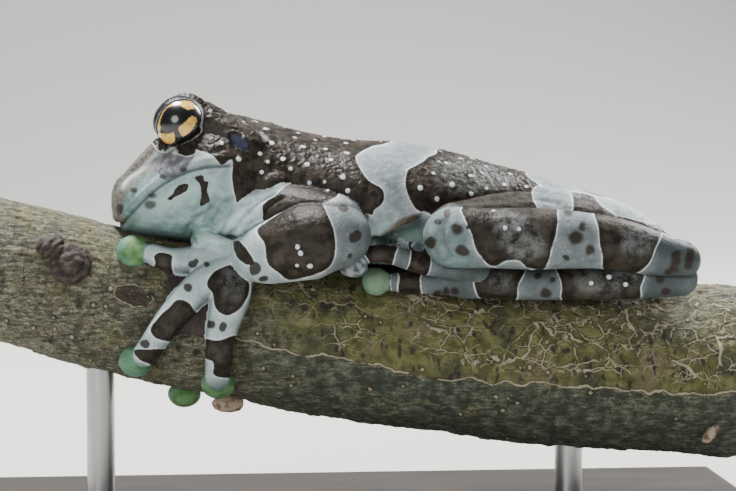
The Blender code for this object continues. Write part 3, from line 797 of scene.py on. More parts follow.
# pressed lines, and raised ones whose depth is below zero: depth and half width in mm, then the
# pixels; those on the chest cross from part to part
lines = {
    "jawRear": (0.42, 0.55, ((212, 208), (206, 213), (198, 218), (190, 226), (186, 232))),
    "throatFold": (0.35, 0.5, ((234.5, 197), (228, 201), (222, 205.5), (218, 211.6), (212, 222))),
    "chestGular": (0.4, 0.4, ((250, 201), (240, 207), (231, 217), (224, 230))),
    "chestFold": (0.45, 0.4, ((274, 192), (262, 199), (250, 208), (240, 219), (233, 232))),
    "chestLow": (0.3, 0.35, ((264, 214), (252, 222), (243, 234))),
    "chestHigh": (0.35, 0.35, ((281, 198), (270, 205), (259, 214), (250, 225))),
    "thumbFold": (0.3, 0.45, ((190, 232), (197, 240), (207, 246), (219, 244))),
    "eyeFold": (-0.07, 0.6, ((207, 118), (220, 121), (232, 125), (243, 131))),
    "drumFold": (-0.08, 0.26, ((219, 131), (226, 133), (230, 137))),
    "armFold": (0.3, 0.5, ((300, 190), (320, 186), (338, 192), (350, 200))),
    "flankRidge": (-0.6, 0.55, ((381, 235), (393, 228), (406, 220), (418, 215))),
    "flankHollow": (1.6, 1.0, ((374, 247), (387, 242), (399, 236), (411, 230), (423, 224))),
    "kneeFurrow": (0.5, 0.6, ((444, 222), (443, 234), (446, 248), (452, 258))),
    "thighFold": (0.22, 0.5, ((430, 208), (470, 200), (520, 196), (560, 203))),
    "canthus": (-0.12, 0.45, ((156, 153.5), (140.6, 170), (128, 180), (123, 188))),
}
warts = (
    (266, 128), (285, 126.5), (303, 146), (283, 158), (268, 161), (262, 172), (291, 168),
    (308, 164), (332, 159), (324, 181), (342, 177), (328, 190), (347, 190.7), (324, 136),
    (272, 142), (260, 153), (216, 141), (222, 143), (310, 182), (420, 187), (452, 184),
    (439, 161), (447, 162.5), (461, 158), (490, 157), (459, 150), (482, 172), (510, 173),
    (505, 184), (487, 188), (472, 193), (437, 198), (494, 210), (505.5, 227), (519, 228),
    (300, 253), (309, 266), (297, 266), (297, 247), (590, 283), (608, 277), (625, 285),
)
bands = {  # brown lengths of each finger and toe, in mm back from the middle of its disc
    "finger": (
        ((5.0, 6.4),),
        ((3.7, 5.8), (8.2, 9.4)),
        ((1.6, 2.4), (4.6, 10.4)),
        ((1.6, 6.4), (10.2, 14.4)),
    ),
    "toe": (
        ((1.3, 2.0), (3.2, 6.2)),
        ((0.9, 1.6), (2.8, 6.4), (8.6, 11.5)),
        ((1.6, 4.2),),
        ((1.6, 3.6),),
        ((1.5, 3.0),),
    ),
}
sculpt = {  # heights and depths in mm
    "foldDepth": 0.1,
    "mouth": (56.4, 8.4, -19.0, 15.4, 47.6),  # height, drop, corner, run, lowest
    "mouthDepth": 0.42,
    "lips": (0.24, 0.20),  # height of the upper and the lower
    "nostril": (-35.2, 2.9, 53.8),
    "nostrilDepth": 0.6,
    "nostrilRim": 0.16,
    "eardrum": (-18.3, 59.5, -36.0, 1.62, 0.86),  # x, z, tilt, half length, half width
    "eardrumRim": 0.13,
    "eardrumDepth": 0.2,
    "wartRadius": 0.42,
    "wartHeight": 0.16,
    "wartTries": 4000,
    "wartSpacing": (2.3, 1.5),  # least, and what chance adds
    "grain": 0.03,
    "lumps": 0.06,
    "beads": 0.13,
    "flankGrain": 0.10,
    "discGroove": 0.14,
    "seed": 7,
}
tints = {
    # parts, marks, strength and softness in mm of the greyish clouds in the brown, and of a painted
    # sheen on the knuckle
    "cloudsAndSheen": (
        (("shank",), ("cloudFirst", "cloudSecond"), 1.0, 0.9),
        (("trunk",), ("cloudBack",), 0.7, 1.2),
        (("foot", "instep", "toe"), ("cloudFoot", "cloudInstep"), 0.7, 0.8),
        (("finger",), ("knuckleSheen",), 0.6, 0.9),
    ),
    # painted shade on the fingers' sides and undersides
    "fingerShade": 0.75,
    # painted highlight: strength of the light bands on the jaw and upper lip
    "jawHighlightBands": (0.75, 0.6),  # below the mouth, and above it
}


def markBody(co, normal, px):
    # each point's part and its place on it, the marks' fields in mm, and the brown, its rim and
    # its spots: brown and rim in mm, positive inside, and spots from 0 to 1
    name, toTip, digit, crease = labelSkin(co)
    facing = normal @ np.array((backward[0], 0, backward[2])) - np.abs(normal[:, 1]) * backward[1]
    wobble = np.stack([ripple(co, 2.2, 1), ripple(co, 2.2, 2)], 1)
    ragged = np.stack([ripple(co, 0.9, 11), ripple(co, 0.9, 12)], 1)
    farWarp = (co[:, 1] > 0)[:, None] * np.stack([ripple(co, 14, 3), ripple(co, 14, 4)], 1)
    at = px + wobble * 1.3 + farWarp * 9
    patch = {key: patchField(at, outline) for key, outline in marks.items()}

    def spotField(part):
        field = np.zeros(len(co))
        bent = at + wobble * 1.2 + ragged
        for x, y, radius, soft in spots.get(part, ()):
            gap = np.hypot(bent[:, 0] - x, bent[:, 1] - y) / radius
            field = np.maximum(field, ease(1.1 + soft * 0.6, 1.0 - soft, gap))
        return field

    def bandField(kind):
        field = np.full(len(co), -2.0)
        run = toTip + wobble[:, 0] * 0.35
        for order, rows in enumerate(bands[kind]):
            for low, high in rows:
                within = np.minimum(run - low, high - run)
                field = np.where(digit == order, np.maximum(field, within), field)
        return field

    def largest(*keys):
        return np.maximum.reduce([patch[key] for key in keys])

    belly = (43.4 - co[:, 2]) / 2 + wobble[:, 0] * 0.3
    pale = np.maximum(largest("face", "saddle", "rearStripe", "thighPatch"), belly)
    shank = largest("shankFirst", "shankSecond", "shankCorner")
    foot = largest("footNear", "footFirst", "footSecond")
    nearHand = largest(
        "knuckle", "forearm", "wristBand", "fingerTwo", "fingerThree", "fingerTip", "fingerFour"
    )
    broad = {
        "trunk": -pale,
        "thigh": -pale,
        "upperArm": patch["upperArm"],
        "forearm": largest("forearm", "wristBand"),
        "shank": shank,
        "foot": foot,
        "instep": foot,
        "finger": np.where(co[:, 1] < 0, nearHand, bandField("finger")),
        "toe": bandField("toe"),
        "web": 1.0,
    }
    rim, spotted = np.full(len(co), -2.0), np.zeros(len(co))
    for part, field in broad.items():
        rim = np.where(name == part, field, rim)
        spotted = np.where(name == part, spotField(part), spotted)
    brown = np.maximum(rim, np.where(name == "trunk", largest("jawA", "jawB"), -2))
    return name, toTip, digit, crease, facing, patch, brown, rim, spotted


co, normal = readMesh(skin.data)
px = pixels(co)
name, toTip, digit, crease, facing, patch, brown, rim, spotted = markBody(co, normal, px)
report("markings laid out")

x, y, z = co.T
away = np.abs(y)
move = -sculpt["foldDepth"] * crease
# painted shade: the skin's colour is darkened in the folds between limbs, and further on in grooves
# and pits
grooveShade = 0.9 * crease
head = (x < -12) & (name == "trunk")

# mouth: a fine groove between two soft lips, that runs level round the snout
height, drop, corner, run, lowest = sculpt["mouth"]
back = np.clip((corner - x) / run, 0, None)
mouthHeight = np.maximum(height - drop * back**2.6, lowest)
steep = np.where(mouthHeight > lowest, drop * 2.6 * back**1.6 / run, 0) * (1 - np.abs(normal[:, 0]))
above = (z - mouthHeight) / np.sqrt(1 + steep**2)
lips = np.clip((corner + 0.4 - x) / 1.6, 0, 1) * head
upper, lower = sculpt["lips"]
move -= lips * sculpt["mouthDepth"] * hump(above, 0.30)
move += lips * (upper * hump(above - 0.95, 0.55) + lower * hump(above + 0.95, 0.6))
# painted shade along the mouth's groove
grooveShade = np.maximum(grooveShade, lips * hump(above, 0.22) * 0.75)

# nostril: a small rimmed pit
pit = np.linalg.norm(np.stack([x, away, z], 1) - sculpt["nostril"], axis=1)
move += head * (
    sculpt["nostrilRim"] * hump(pit - 0.62, 0.3) - sculpt["nostrilDepth"] * hump(pit, 0.34)
)
# painted shade in the nostril's pit
grooveShade = np.maximum(grooveShade, head * hump(pit, 0.36))

# eardrum: a taut oval in a raised rim, under the fold that runs back from the eye
x0, z0, tilt, long, short = sculpt["eardrum"]
turn = math.radians(tilt)
u = (x - x0) * math.cos(turn) + (z - z0) * math.sin(turn)
v = (z - z0) * math.cos(turn) - (x - x0) * math.sin(turn)
drum = np.hypot(u / long, v / short)
beside = head & (away > 6)
move += beside * (
    sculpt["eardrumRim"] * hump(drum - 1.18, 0.22)
    - sculpt["eardrumDepth"] * ease(1.15, 0.8, drum)
)
drumFace = beside * ease(1.0, 0.86, drum)
# painted shade in the groove round the eardrum's edge
grooveShade = np.maximum(grooveShade, beside * hump(drum - 1.02, 0.13) * 0.9)

trunkOnly = (name == "trunk") | (name == "thigh")
for key, (depth, width, points) in lines.items():
    distance = strokeField(px, points)
    inLine = hump(distance, width) * np.clip(facing * 3, 0, 1)
    if key == "kneeFurrow":
        inLine *= name == "shank"
    elif not key.startswith("chest"):
        inLine *= trunkOnly
    move -= depth * inLine
    # pressed lines also get painted shade along their floor
    if depth > 0:
        grooveShade = np.maximum(grooveShade, 0.4 * hump(distance, width * 0.5) * inLine)

# warts: those that the photograph shows, the same on the far side, and others over the back, whose
# white dots along the crest also stand in for wet glints
rng = np.random.default_rng(sculpt["seed"])
near = np.flatnonzero((y < 0) & (facing > 0.05))
sites = []
for spot in warts:
    gap = np.hypot(*(px[near] - spot).T)
    close = near[gap < 1.4]
    if len(close):
        sites.append(co[close[np.argmin(y[close])]])
sites += [site * (1, -1, 1) + rng.normal(0, 0.7, 3) for site in list(sites)]
crest = np.flatnonzero((name == "trunk") & (normal[:, 2] > 0.35) & (x > -20) & (x < 38))
least, more = sculpt["wartSpacing"]
for index in rng.permutation(crest)[: sculpt["wartTries"]]:
    if min(np.linalg.norm(co[index] - site) for site in sites) > least + more * rng.random():
        sites.append(co[index])
tree, wart = pointTree(co), np.zeros(len(co))
for site in sites:
    addBump(wart, tree, site, sculpt["wartRadius"] * (0.7 + 0.6 * rng.random()), 2.6)
onBody = ease(-0.1, 0.5, brown) * (x > -21)
move += sculpt["wartHeight"] * wart * onBody
report("%d warts" % len(sites))

# fine relief everywhere, coarser along the flank and back
grain = ripple(co, 0.9, 5)
lumps = ripple(co, 2.6, 6)
calm = np.where(name == "trunk", 1.0, 0.6) * ease(1.5, 3.0, np.where(name == "finger", toTip, 9.0))
move += calm * (sculpt["grain"] * grain + sculpt["lumps"] * lumps)
beads = np.clip(ripple(co, 0.62, 9) + 0.1, 0, None) + 0.4 * np.clip(ripple(co, 0.4, 10), 0, None)
inBrown = ease(0.0, 0.5, brown) * np.where(name == "trunk", 1.0, 0.3)
move += sculpt["beads"] * beads * inBrown
move += sculpt["flankGrain"] * ease(-0.2, 0.8, patch["flank"]) * ripple(co, 0.7, 8)

# discs: a rounded pad, set off from the finger by a shallow groove
disc = shadedToeDisc = thumb = firstToe = np.zeros(len(co))
for centre, radius, kind, order in discs:
    gap = np.linalg.norm(co - centre, axis=1)
    within = ease(radius + 0.35, radius + 0.05, gap)
    if kind == "finger" and order == 0:
        thumb = np.maximum(thumb, ease(radius * 1.05, radius * 0.5, gap))
    else:
        disc = np.maximum(disc, within)
    # the other toes' discs take a grey tone, which also stands in for the shade under the belly
    if kind == "toe" and order > 0:
        shadedToeDisc = np.maximum(shadedToeDisc, within)
    if kind == "toe" and order == 0:
        firstToe = np.maximum(firstToe, within)
    move -= sculpt["discGroove"] * hump(gap - radius - 0.35, 0.3) * (toTip < 6)
co = co + normal * move[:, None]

# eyes: the rim of skin, then the balls
eye = {
    "centre": np.array(frog["eyeCentre"]) + (0.15, 0, -0.25),
    "axis": np.array((-0.2, 0.95, 0.22)),  # where the right eye looks; the left one mirrors it
    "radius": 3.5,
    # outlines in the photograph's pixels
    "lid": (
        (186, 91.6), (172, 96), (163, 102), (156.4, 110.7), (152.6, 121), (151, 131),
        (152.6, 138), (155.4, 142), (163, 148), (174, 150.4), (184, 145.7), (193, 140.4),
        (199.4, 134.7), (202.6, 130), (201.4, 126), (203, 120), (204.7, 112.7), (204.2, 108),
        (200.4, 102), (194.7, 97),
    ),
    "opening": (
        (184.6, 98.6), (174, 100.8), (167, 105.8), (161, 113), (158, 121), (157, 128.4),
        (157.8, 135), (160.4, 140.4), (164.8, 143.8), (170.4, 145.8), (176.5, 145.8),
        (183.6, 143), (190.6, 139.4), (197, 135.2), (200.6, 130.6), (199.2, 126), (201.2, 119.4),
        (202.6, 112.7), (202.2, 108), (198, 102.6), (192, 99),
    ),
    "goldUpper": (
        (157, 129), (157, 124), (160, 116), (167, 105.5), (172, 103), (177, 101.4),
        (184, 101), (191, 101), (194, 103), (196, 108), (191, 109), (188.4, 110.3),
        (185.6, 109.3), (182.7, 107), (178.4, 105), (174, 105.5), (170, 107), (164.5, 111),
        (161.7, 116.5), (160, 122), (160.5, 131),
    ),
    "pupil": (
        (160.5, 127.5), (161, 121), (162, 116), (165, 111.7), (170, 107.6), (175.5, 105.7),
        (181, 107), (185, 109.3), (188.4, 112.7), (189, 115.5), (185, 120.3), (180, 125),
        (177.4, 129), (173.6, 131.3), (169, 132.3), (163.6, 131.8),
    ),
    "goldLeft": (
        (158.3, 132.7), (159, 137), (161, 142), (163.6, 143.7), (170, 143.7), (174, 142),
        (175, 139), (174, 132.3), (170, 133.2), (163.6, 133.7),
    ),
    "goldRight": (
        (178.2, 128.7), (184.6, 122), (191, 116.5), (194.7, 116.7), (197, 119.4), (195, 125),
        (191, 131), (187, 134), (183, 137), (180.3, 133.7),
    ),
}
flip = np.where(co[:, 1:2] > 0, 1, -1) * (0, 1, 0) + (1, 0, 1)
centres = flip * eye["centre"]
spoke = co - centres
reach = np.linalg.norm(spoke, axis=1)
spoke /= reach[:, None]
front = (reach < 6) & (np.sum(spoke * flip * eye["axis"], 1) > -0.05) & (name == "trunk")
lidPx = pixels(co)
opening = patchField(lidPx, eye["opening"])
rimOut = patchField(lidPx, eye["lid"])
inLid = front & (opening > -1.6)
ball = eye["radius"]
lid = ball + 0.09 + 0.16 * ease(0.0, -0.22, opening) + 0.05 * ease(-0.2, -0.6, opening)
lid -= 0.10 * hump(rimOut, 0.15)
lid = np.where(opening > 0, ball + 0.10 - 0.62 * ease(0.0, 0.22, opening), lid)
reach = np.maximum(reach, ball + 0.14)
co = centres + spoke * reach[:, None]
blend = ease(-1.6, -0.9, opening) * inLid
target = np.where(opening > -1.0, lid, reach)
co = np.where(inLid[:, None], centres + spoke * ((1 - blend) * reach + blend * target)[:, None], co)
edgeLine = 0.8 * hump(opening + 0.07, 0.08) + hump(rimOut - 0.05, 0.11)
lidLine = front * np.clip(edgeLine, 0, 1) * ease(-1.5, -1.0, opening)
lidDark = front * ease(-0.10, -0.2, opening) * ease(0.06, 0.18, rimOut)
# painted shade where the lid tucks in round the eyeball
grooveShade = np.maximum(grooveShade, front * ease(-0.06, 0.03, opening))

# the flesh rests on the bark
line = np.stack([co[:, 0], 0 * co[:, 0], branchHeight(co[:, 0])], 1)
outward = (co - line) * (0, 1, 1)
depth = np.linalg.norm(outward, axis=1)
turn = np.arctan2(-outward[:, 1], outward[:, 2])
surface = branchRadius(co[:, 0]) + branchWave(co[:, 0], turn) + 0.05
sunk = depth < surface
co = np.where(sunk[:, None], line + outward / depth[:, None] * surface[:, None], co)
writeMesh(skin.data, co)
report("skin sculpted")

# tints, each a soft field over the skin
x, y, z = co.T
onFoot = np.isin(name, ("foot", "instep", "toe"))
mint = np.where(name == "trunk", 0.2 + 0.8 * ease(4, -14, x) * ease(58, 50, z), 0.08)
mint = np.where((name == "finger") & (digit == 0) & (toTip < 5), 0.9, mint)
mint = np.maximum(mint, ease(-0.6, 1.0, patch["hollow"]) * trunkOnly)
mint = np.maximum(mint, 0.6 * ease(52, 44, z) * trunkOnly)
mint = np.maximum(mint, (0.5 * ease(16, 10.5, x) + 0.3 * ease(46, 43, z)) * (name == "shank"))
# painted shade: how far the pale skin on each part turns to the shade colour, strongest on the feet
# and heel, where the light falls less
shadeByPart = {
    "shank": 0.68 + 0.72 * ease(34, 42, x),
    "thigh": 0.45,
    "forearm": 0.2 + 0.75 * ease(-10, -4, x),
    "trunk": 0.35 * ease(-24, -32, x) * ease(58, 50, z) + 0.4 * ease(50, 55, z) * ease(-14, -8, x),
}
paintedShade = onFoot * (1.15 + 0.25 * ease(34, 42, x))
for part, field in shadeByPart.items():
    paintedShade = np.where(name == part, field, paintedShade)
# painted shade on the fingers' sides and undersides
edgeOn = ease(0.75, 0.2, np.abs(normal @ np.array(backward)))
below = ease(-0.1, -0.7, normal[:, 2])
paintedShade = np.where(name == "finger", tints["fingerShade"] * np.maximum(edgeOn, below), paintedShade)
smudge, cloudAndSheen = np.zeros(len(co)), np.zeros(len(co))
for sx, sy, wide, tall in smudges:
    gap = np.hypot((px[:, 0] - sx + 1.5 * grain) / wide, (px[:, 1] - sy + 2 * lumps) / tall)
    smudge = np.maximum(smudge, head * ease(1.5, 0.1, gap))
# greyish clouds in the brown, and a painted sheen on the knuckle
for parts, keys, strength, soft in tints["cloudsAndSheen"]:
    field = np.maximum.reduce([patch[key] for key in keys])
    cloudAndSheen = np.maximum(cloudAndSheen, strength * ease(-soft, soft, field) * np.isin(name, parts))
onSnout = head & (x < -27)
# painted highlight: lighter bands on the jaw below the mouth and along the upper lip
low, high = tints["jawHighlightBands"]
jawHighlight = head * (low * hump(above + 2.4, 2.3) + high * hump(above - 1.1, 0.8)) * ease(-35, -31, x)
inChest = ease(-0.7, 0.7, patch["chest"]) * np.isin(name, ("trunk", "finger", "upperArm"))
onHand = 0.5 * (name == "finger") + 0.5 * (name == "forearm") * ease(-11, -15, x)
# painted light that lifts the low saddle out of its shade
litLowSaddle = 0.45 * ease(51, 46, z) * ease(-6, -3, x) * ease(14, 10, x) * trunkOnly
# painted highlights: a light line along the canthus ridge where it catches the light, and a small
# glint before the eardrum
ridge, drumGlint = (strokeField(px, lines[key][2]) for key in ("canthus", "drumFold"))
drumGlint = 0.8 * head * hump(drumGlint, 0.16) * (facing > 0)
store(skin.data, {
    "brown": brown,
    "rim": rim,
    "mint": mint,
    "smudge": smudge,
    "spotted": spotted,
    "paintedShade": paintedShade,
    "hollow": trunkOnly * ease(-0.5, 0.6, patch["hollow"]),
    "cloudAndSheen": cloudAndSheen,
    "beige": onSnout * ease(-0.5, 0.35, patch["snoutTop"]),
    "lavender": head * ease(-0.45, 0.3, patch["lavender"]) * (brown < 0.4),
    "flank": trunkOnly * ease(-0.35, 0.25, patch["flank"]),
    "disc": disc,
    "wart": wart * onBody,
    "grooveShade": grooveShade,
    "drum": drumFace,
    "lidLine": lidLine,
    "lidDark": lidDark,
    "toeDisc": shadedToeDisc,
    "thumb": thumb,
    # the pale chest and hand, and painted light on the low saddle
    "chest": np.maximum.reduce([inChest, onHand * (disc < 0.1), litLowSaddle]),
    "web": (name == "web") & (x < -17),
    "wet": ease(-0.05, 0.1, brown) * np.where(name == "trunk", 1.0, 0.35),
    # painted highlights along the canthus and before the eardrum
    "line": np.maximum(onSnout * hump(ridge, 0.32), drumGlint),
    "jawHighlight": np.clip(jawHighlight, 0, 1),
    "leading": ease(0.3, 0.95, -0.8 * normal[:, 0] + 0.45 * normal[:, 2]),
    "firstToe": firstToe,
})
skin.data.shade_smooth()


def buildEye(title, side):
    heap = Heap()
    axis = eye["axis"] * (1, side, 1)
    centre = eye["centre"] * (1, side, 1)
    addBall(heap, centre, eye["radius"], axis, rings=150, around=220)
    ball = makeObject(title, heap)
    co, _ = readMesh(ball.data)
    px = pixels(co)
    gold = np.maximum.reduce(
        [patchField(px, eye[key]) for key in ("goldUpper", "goldLeft", "goldRight")]
    )
    turned = np.sum((co - centre) * axis, 1) > 0
    pupil = patchField(px, eye["pupil"])
    store(ball.data, {"gold": np.where(turned, gold, -1), "pupil": np.where(turned, pupil, -1)})
    ball.data.shade_smooth()
    return ball


eyes = [buildEye("eyeball_left", nearSide), buildEye("eyeball_right", farSide)]
report("eyes made")


# the branch
def buildBranch():
    heap = Heap()
    half, around, capRings = branch["halfLength"], branch["around"], branch["capRings"]
    xs = np.linspace(-half, half, branch["rings"])
    turns = np.linspace(0, 2 * math.pi, around, endpoint=False)
    grid = []
    for x in xs:
        reach = branchRadius(x) + branchWave(x, turns)
        height = branchHeight(x)
        grid.append(
            np.stack([x + 0 * turns, -reach * np.sin(turns), height + reach * np.cos(turns)], 1)
        )
    # sawn ends: rings that close in on the pith
    for end in (0, -1):
        middle = np.array((xs[end], 0, branchHeight(xs[end])))
        rim = grid[end]
        caps = [middle + (rim - middle) * (1 - k / capRings) for k in range(1, capRings)]
        grid = caps[::-1] + grid if end == 0 else grid + caps
    heap.add(np.concatenate(grid) * mm, ringFaces(len(grid), around))
    return makeObject("branch_bark", heap)


bark = buildBranch()
co, normal = readMesh(bark.data)
normal = -normal if np.mean(np.sum(normal * (co - co.mean(0)) * (0, 1, 1), 1)) < 0 else normal
x, y, z = co.T
turn = np.arctan2(-y, z - branchHeight(x))
radius = np.hypot(y, z - branchHeight(x))
onSide = ease(0.985, 0.996, radius / (branchRadius(x) + branchWave(x, turn)))
girth = 2 * math.pi * branch["girthRadius"]
arc = (turn % (2 * math.pi)) * branch["girthRadius"]
degrees = np.degrees(turn) % 360
down = np.minimum(degrees, 360 - degrees)  # from the crest
rng = np.random.default_rng(branch["seed"])


def crackLines(cell, seed):
    # how close each point lies to the border between two scattered cells, bent by noise
    rng = np.random.default_rng(seed)
    long, wide = cell
    count = int(110 * girth / (long * wide))
    sites = KDTree(count * 3)
    across, around = rng.uniform(-56, 56, count), rng.uniform(0, girth, count)
    for index, (cellX, cellArc) in enumerate(zip(across, around)):
        for shift in (-1, 0, 1):
            sites.insert((cellX / long, (cellArc + shift * girth) / wide, 0), index)
    sites.balance()
    border = np.full(len(co), 9.0)
    bentX = x + 1.1 * bend + 0.35 * sway
    bentArc = arc + 0.8 * sway - 0.5 * bend
    for index in np.flatnonzero(onSide > 0):
        (_, _, first), (_, _, second) = sites.find_n(
            (bentX[index] / long, bentArc[index] / wide, 0), 2
        )
        border[index] = second - first
    return border


bend, sway = ripple(co, 2.6, 21), ripple(co, 1.0, 22)
patchy = ripple(co, 9, 23) + 0.4 * ripple(co, 3.5, 24)
rightward = ease(2, 26, x)
band = ease(16, 30, down) * ease(98, 84, down) * ease(-24, -10, x)
coarse = ease(0.075, 0.015, crackLines(branch["cells"][0], 11))
close = ease(0.11, 0.02, crackLines(branch["cells"][1], 12))
network = coarse * ease(-0.5, 0.0, patchy + 0.5 * rightward - 0.4)
finer = close * ease(0.0, 0.35, patchy + 0.6 * rightward - 0.4 - 0.6 * ease(62, 80, down))
network = np.maximum(network, 0.8 * finer) * np.maximum(band, 0.12)
network *= ease(-0.9, -0.1, ripple(co, 1.6, 36))
# the long wavy split along the side, with green bark above it and dark bark below
split = 99 + 4 * ripple(co, 13, 25) + 4 * ripple(co, 3.2, 26) - 8 * ease(-12, -22, x)
splitGap = (down - split) * branch["girthRadius"] * math.pi / 180
splitLine = hump(splitGap + 0.25 * sway, 0.15) * ease(-24, -17, x) * onSide
splitLine *= ease(-0.75, -0.2, ripple(co, 4.5, 33))
rightOnly = ease(-24, -8, x + 4 * patchy)
green = ease(0.4, -0.5, splitGap) * ease(18, 36, down) * rightOnly
green *= 1 - 0.6 * ease(28, 44, x) * ease(80, 55, down)
low = ease(-0.2, 0.8, splitGap) * rightOnly
slanted = np.stack([x + 0.55 * z, y, z], 1)
fibre = ripple(slanted * (0.26, 1.5, 1.5), 1.0, 27)
flakes = ease(0.1, 0.5, ripple(slanted * (0.45, 1.0, 1.0), 1.1, 30)) * (1 - 0.8 * green)
rough = ripple(co, 0.5, 28)
tree, pores = pointTree(co), np.zeros(len(co))
for _ in range(branch["pores"]):
    poreX, poreTurn = rng.uniform(-54, 54), math.radians(rng.normal(*branch["poreAngle"]))
    poreTurn *= 1 if rng.random() < 0.6 else -1
    reach = branchRadius(poreX)
    site = (poreX, -reach * math.sin(poreTurn), branchHeight(poreX) + reach * math.cos(poreTurn))
    addBump(pores, tree, site, rng.uniform(*branch["poreSize"]), 2.2)
x0, z0, long, high, slant = branch["scar"]
scarGap = np.hypot((x - x0 + slant * (z - z0)) / long, (z - z0) / high) + 0.22 * sway
scar = ease(1.15, 0.85, scarGap) * (y < 0) * onSide
network = np.maximum(network, 0.8 * hump(scarGap - 1.15, 0.11) * (y < 0) * ease(-0.5, 0.1, bend))
smaller, broader = branch["waves"]
lift = onSide * (
    branch["ridge"] * network
    - branch["scarDepth"] * scar
    + branch["splitRidge"] * splitLine
    + branch["fibre"] * fibre * (1 - 0.7 * green)
    + branch["flake"] * flakes
    + branch["rough"] * rough * (1 - 0.5 * green)
    + branch["poreHeight"] * pores
    + smaller * ripple(co, 1.3, 35)
    + broader * ripple(co, 3.5, 29)
)
co = co + normal * lift[:, None]
writeMesh(bark.data, co)
store(bark.data, {
    "crack": np.clip(network + 1.1 * splitLine, 0, 1),
    "flakes": flakes,
    "veins": band * ease(-0.5, 0.4, patchy + 0.5 * rightward),
    "green": green,
    "scar": scar,
    "low": low,
    "pore": pores,
    "sawn": 1 - ease(0.93, 0.99, radius / branchRadius(x)),
    "core": radius / branchRadius(x),
    "moss": ease(75, 20, down) * ease(25, -25, x),
})
bark.data.shade_smooth()

knots = Heap()
for x0, angle, lift, radii, tilt in branch["knots"]:
    addBall(knots, onBranch(x0, angle, lift), radii, tilt, rings=60, around=90)
place, radii, tilt = branch["stub"]
addBall(knots, onBranch(*place), radii, tilt, rings=60, around=60)
knot = makeObject("branch_knots", knots)
fuse(knot, branch["knotVoxel"], branch["knotSmoothing"])
co, normal = readMesh(knot.data)
x0, angle, lift, radii, tilt = branch["knots"][1]
gap = np.linalg.norm(co - onBranch(x0, angle, lift), axis=1)
rings = np.sin(gap * branch["knotRings"] + 2.5 * ripple(co, 2.0, 35)) * (co[:, 0] < -30)
torn = ripple(co * (1, 1, 1.6), 1.0, 31)
co += normal * (0.10 * rings + 0.16 * torn + 0.08 * ripple(co, 0.4, 32))[:, None]
writeMesh(knot.data, co)
store(knot.data, {"groove": ease(0.2, -0.9, rings + 1.4 * torn), "bud": co[:, 0] > -30})
knot.data.shade_smooth()
report("branch made")


# stand
stand = {
    "base": (118.0, 62.0, 6.0),
    "bevel": 1.2,
    "bevelRings": 6,
    "corner": (0.8, 6),  # radius and steps of the plinth's upright corners
    "rods": (-38.0, 30.0),
    "rodRadius": 2.0,
    "rodAround": 72,
    "gap": 0.3,  # between a rod's foot and the plinth
    "sharp": 40,  # degrees
    "sunk": 0.9,  # how far a rod's end reaches into the bark
}


def plinthRing(inset, z):
    # a rectangle with rounded corners, in from the plinth's outline
    long, deep, _ = stand["base"]
    corner, steps = stand["corner"]
    ring = []
    for sx, sy, first in ((1, 1, 0), (-1, 1, 90), (-1, -1, 180), (1, -1, 270)):
        for k in range(steps + 1):
            turn = math.radians(first + 90 * k / steps)
            reach = max(corner - inset, 0.05)
            x = sx * (long / 2 - inset - reach) + reach * math.cos(turn)
            y = sy * (deep / 2 - inset - reach) + reach * math.sin(turn)
            ring.append(point((x, y, z)))
    return ring


def turnedPiece(title, rings):
    # a loft with its hard edges kept sharp
    heap = Heap()
    addLoft(heap, rings)
    made = makeObject(title, heap)
    made.data.shade_smooth()
    made.data.set_sharp_from_angle(angle=math.radians(stand["sharp"]))
    return made


def buildBase():
    high, edge, steps = stand["base"][2], stand["bevel"], stand["bevelRings"]
    rings = [plinthRing(edge / 2, 0), plinthRing(0, 0)]
    for k in range(steps + 1):
        turn = math.pi / 2 * k / steps
        rings.append(plinthRing(edge * (1 - math.cos(turn)), high - edge * (1 - math.sin(turn))))
    rings.append(plinthRing(edge + 0.5, high))
    return turnedPiece("plinth", rings)


def buildRod(title, x):
    # a turned rod with a small collar at its foot
    low = stand["base"][2] + stand["gap"]
    high = branchHeight(x) - branchRadius(x) + stand["sunk"]
    r = stand["rodRadius"]
    profile = (
        (r + 1.2, low), (r + 1.4, low + 0.2), (r + 1.4, low + 0.9), (r + 1.1, low + 1.2),
        (r + 0.25, low + 1.3), (r, low + 1.5), (r, high - 0.3), (r - 0.3, high),
    )
    turns = [2 * math.pi * k / stand["rodAround"] for k in range(stand["rodAround"])]
    rings = []
    for radius, z in profile:
        rings.append([point((x + radius * math.cos(t), radius * math.sin(t), z)) for t in turns])
    return turnedPiece(title, rings)


plinth = buildBase()
rods = [buildRod("rod_front", stand["rods"][0]), buildRod("rod_rear", stand["rods"][1])]
report("stand made")


# materials
class Wire:
    # a shader socket that can stand in a sum
    def __init__(self, graph, socket):
        self.graph, self.socket = graph, socket

    def maths(self, kind, *values):
        return self.graph.node("ShaderNodeMath", {"operation": kind}, dict(enumerate(values)))

    def __add__(self, other):
        return self.maths("ADD", self, other)

    def __radd__(self, other):
        return self.maths("ADD", other, self)

    def __sub__(self, other):
        return self.maths("SUBTRACT", self, other)

    def __rsub__(self, other):
        return self.maths("SUBTRACT", other, self)

    def __mul__(self, other):
        return self.maths("MULTIPLY", self, other)

    def __rmul__(self, other):
        return self.maths("MULTIPLY", other, self)

    def size(self):
        return self.maths("ABSOLUTE", self)

    def wave(self):
        return self.maths("SINE", self)

    def step(self, low, high, start=0.0, end=1.0):
        # a smooth step between low and high
        settings = {"interpolation_type": "SMOOTHSTEP"}
        values = {0: self, 1: low, 2: high, 3: start, 4: end}
        if low > high:
            values.update({1: high, 2: low, 3: end, 4: start})
        return self.graph.node("ShaderNodeMapRange", settings, values)


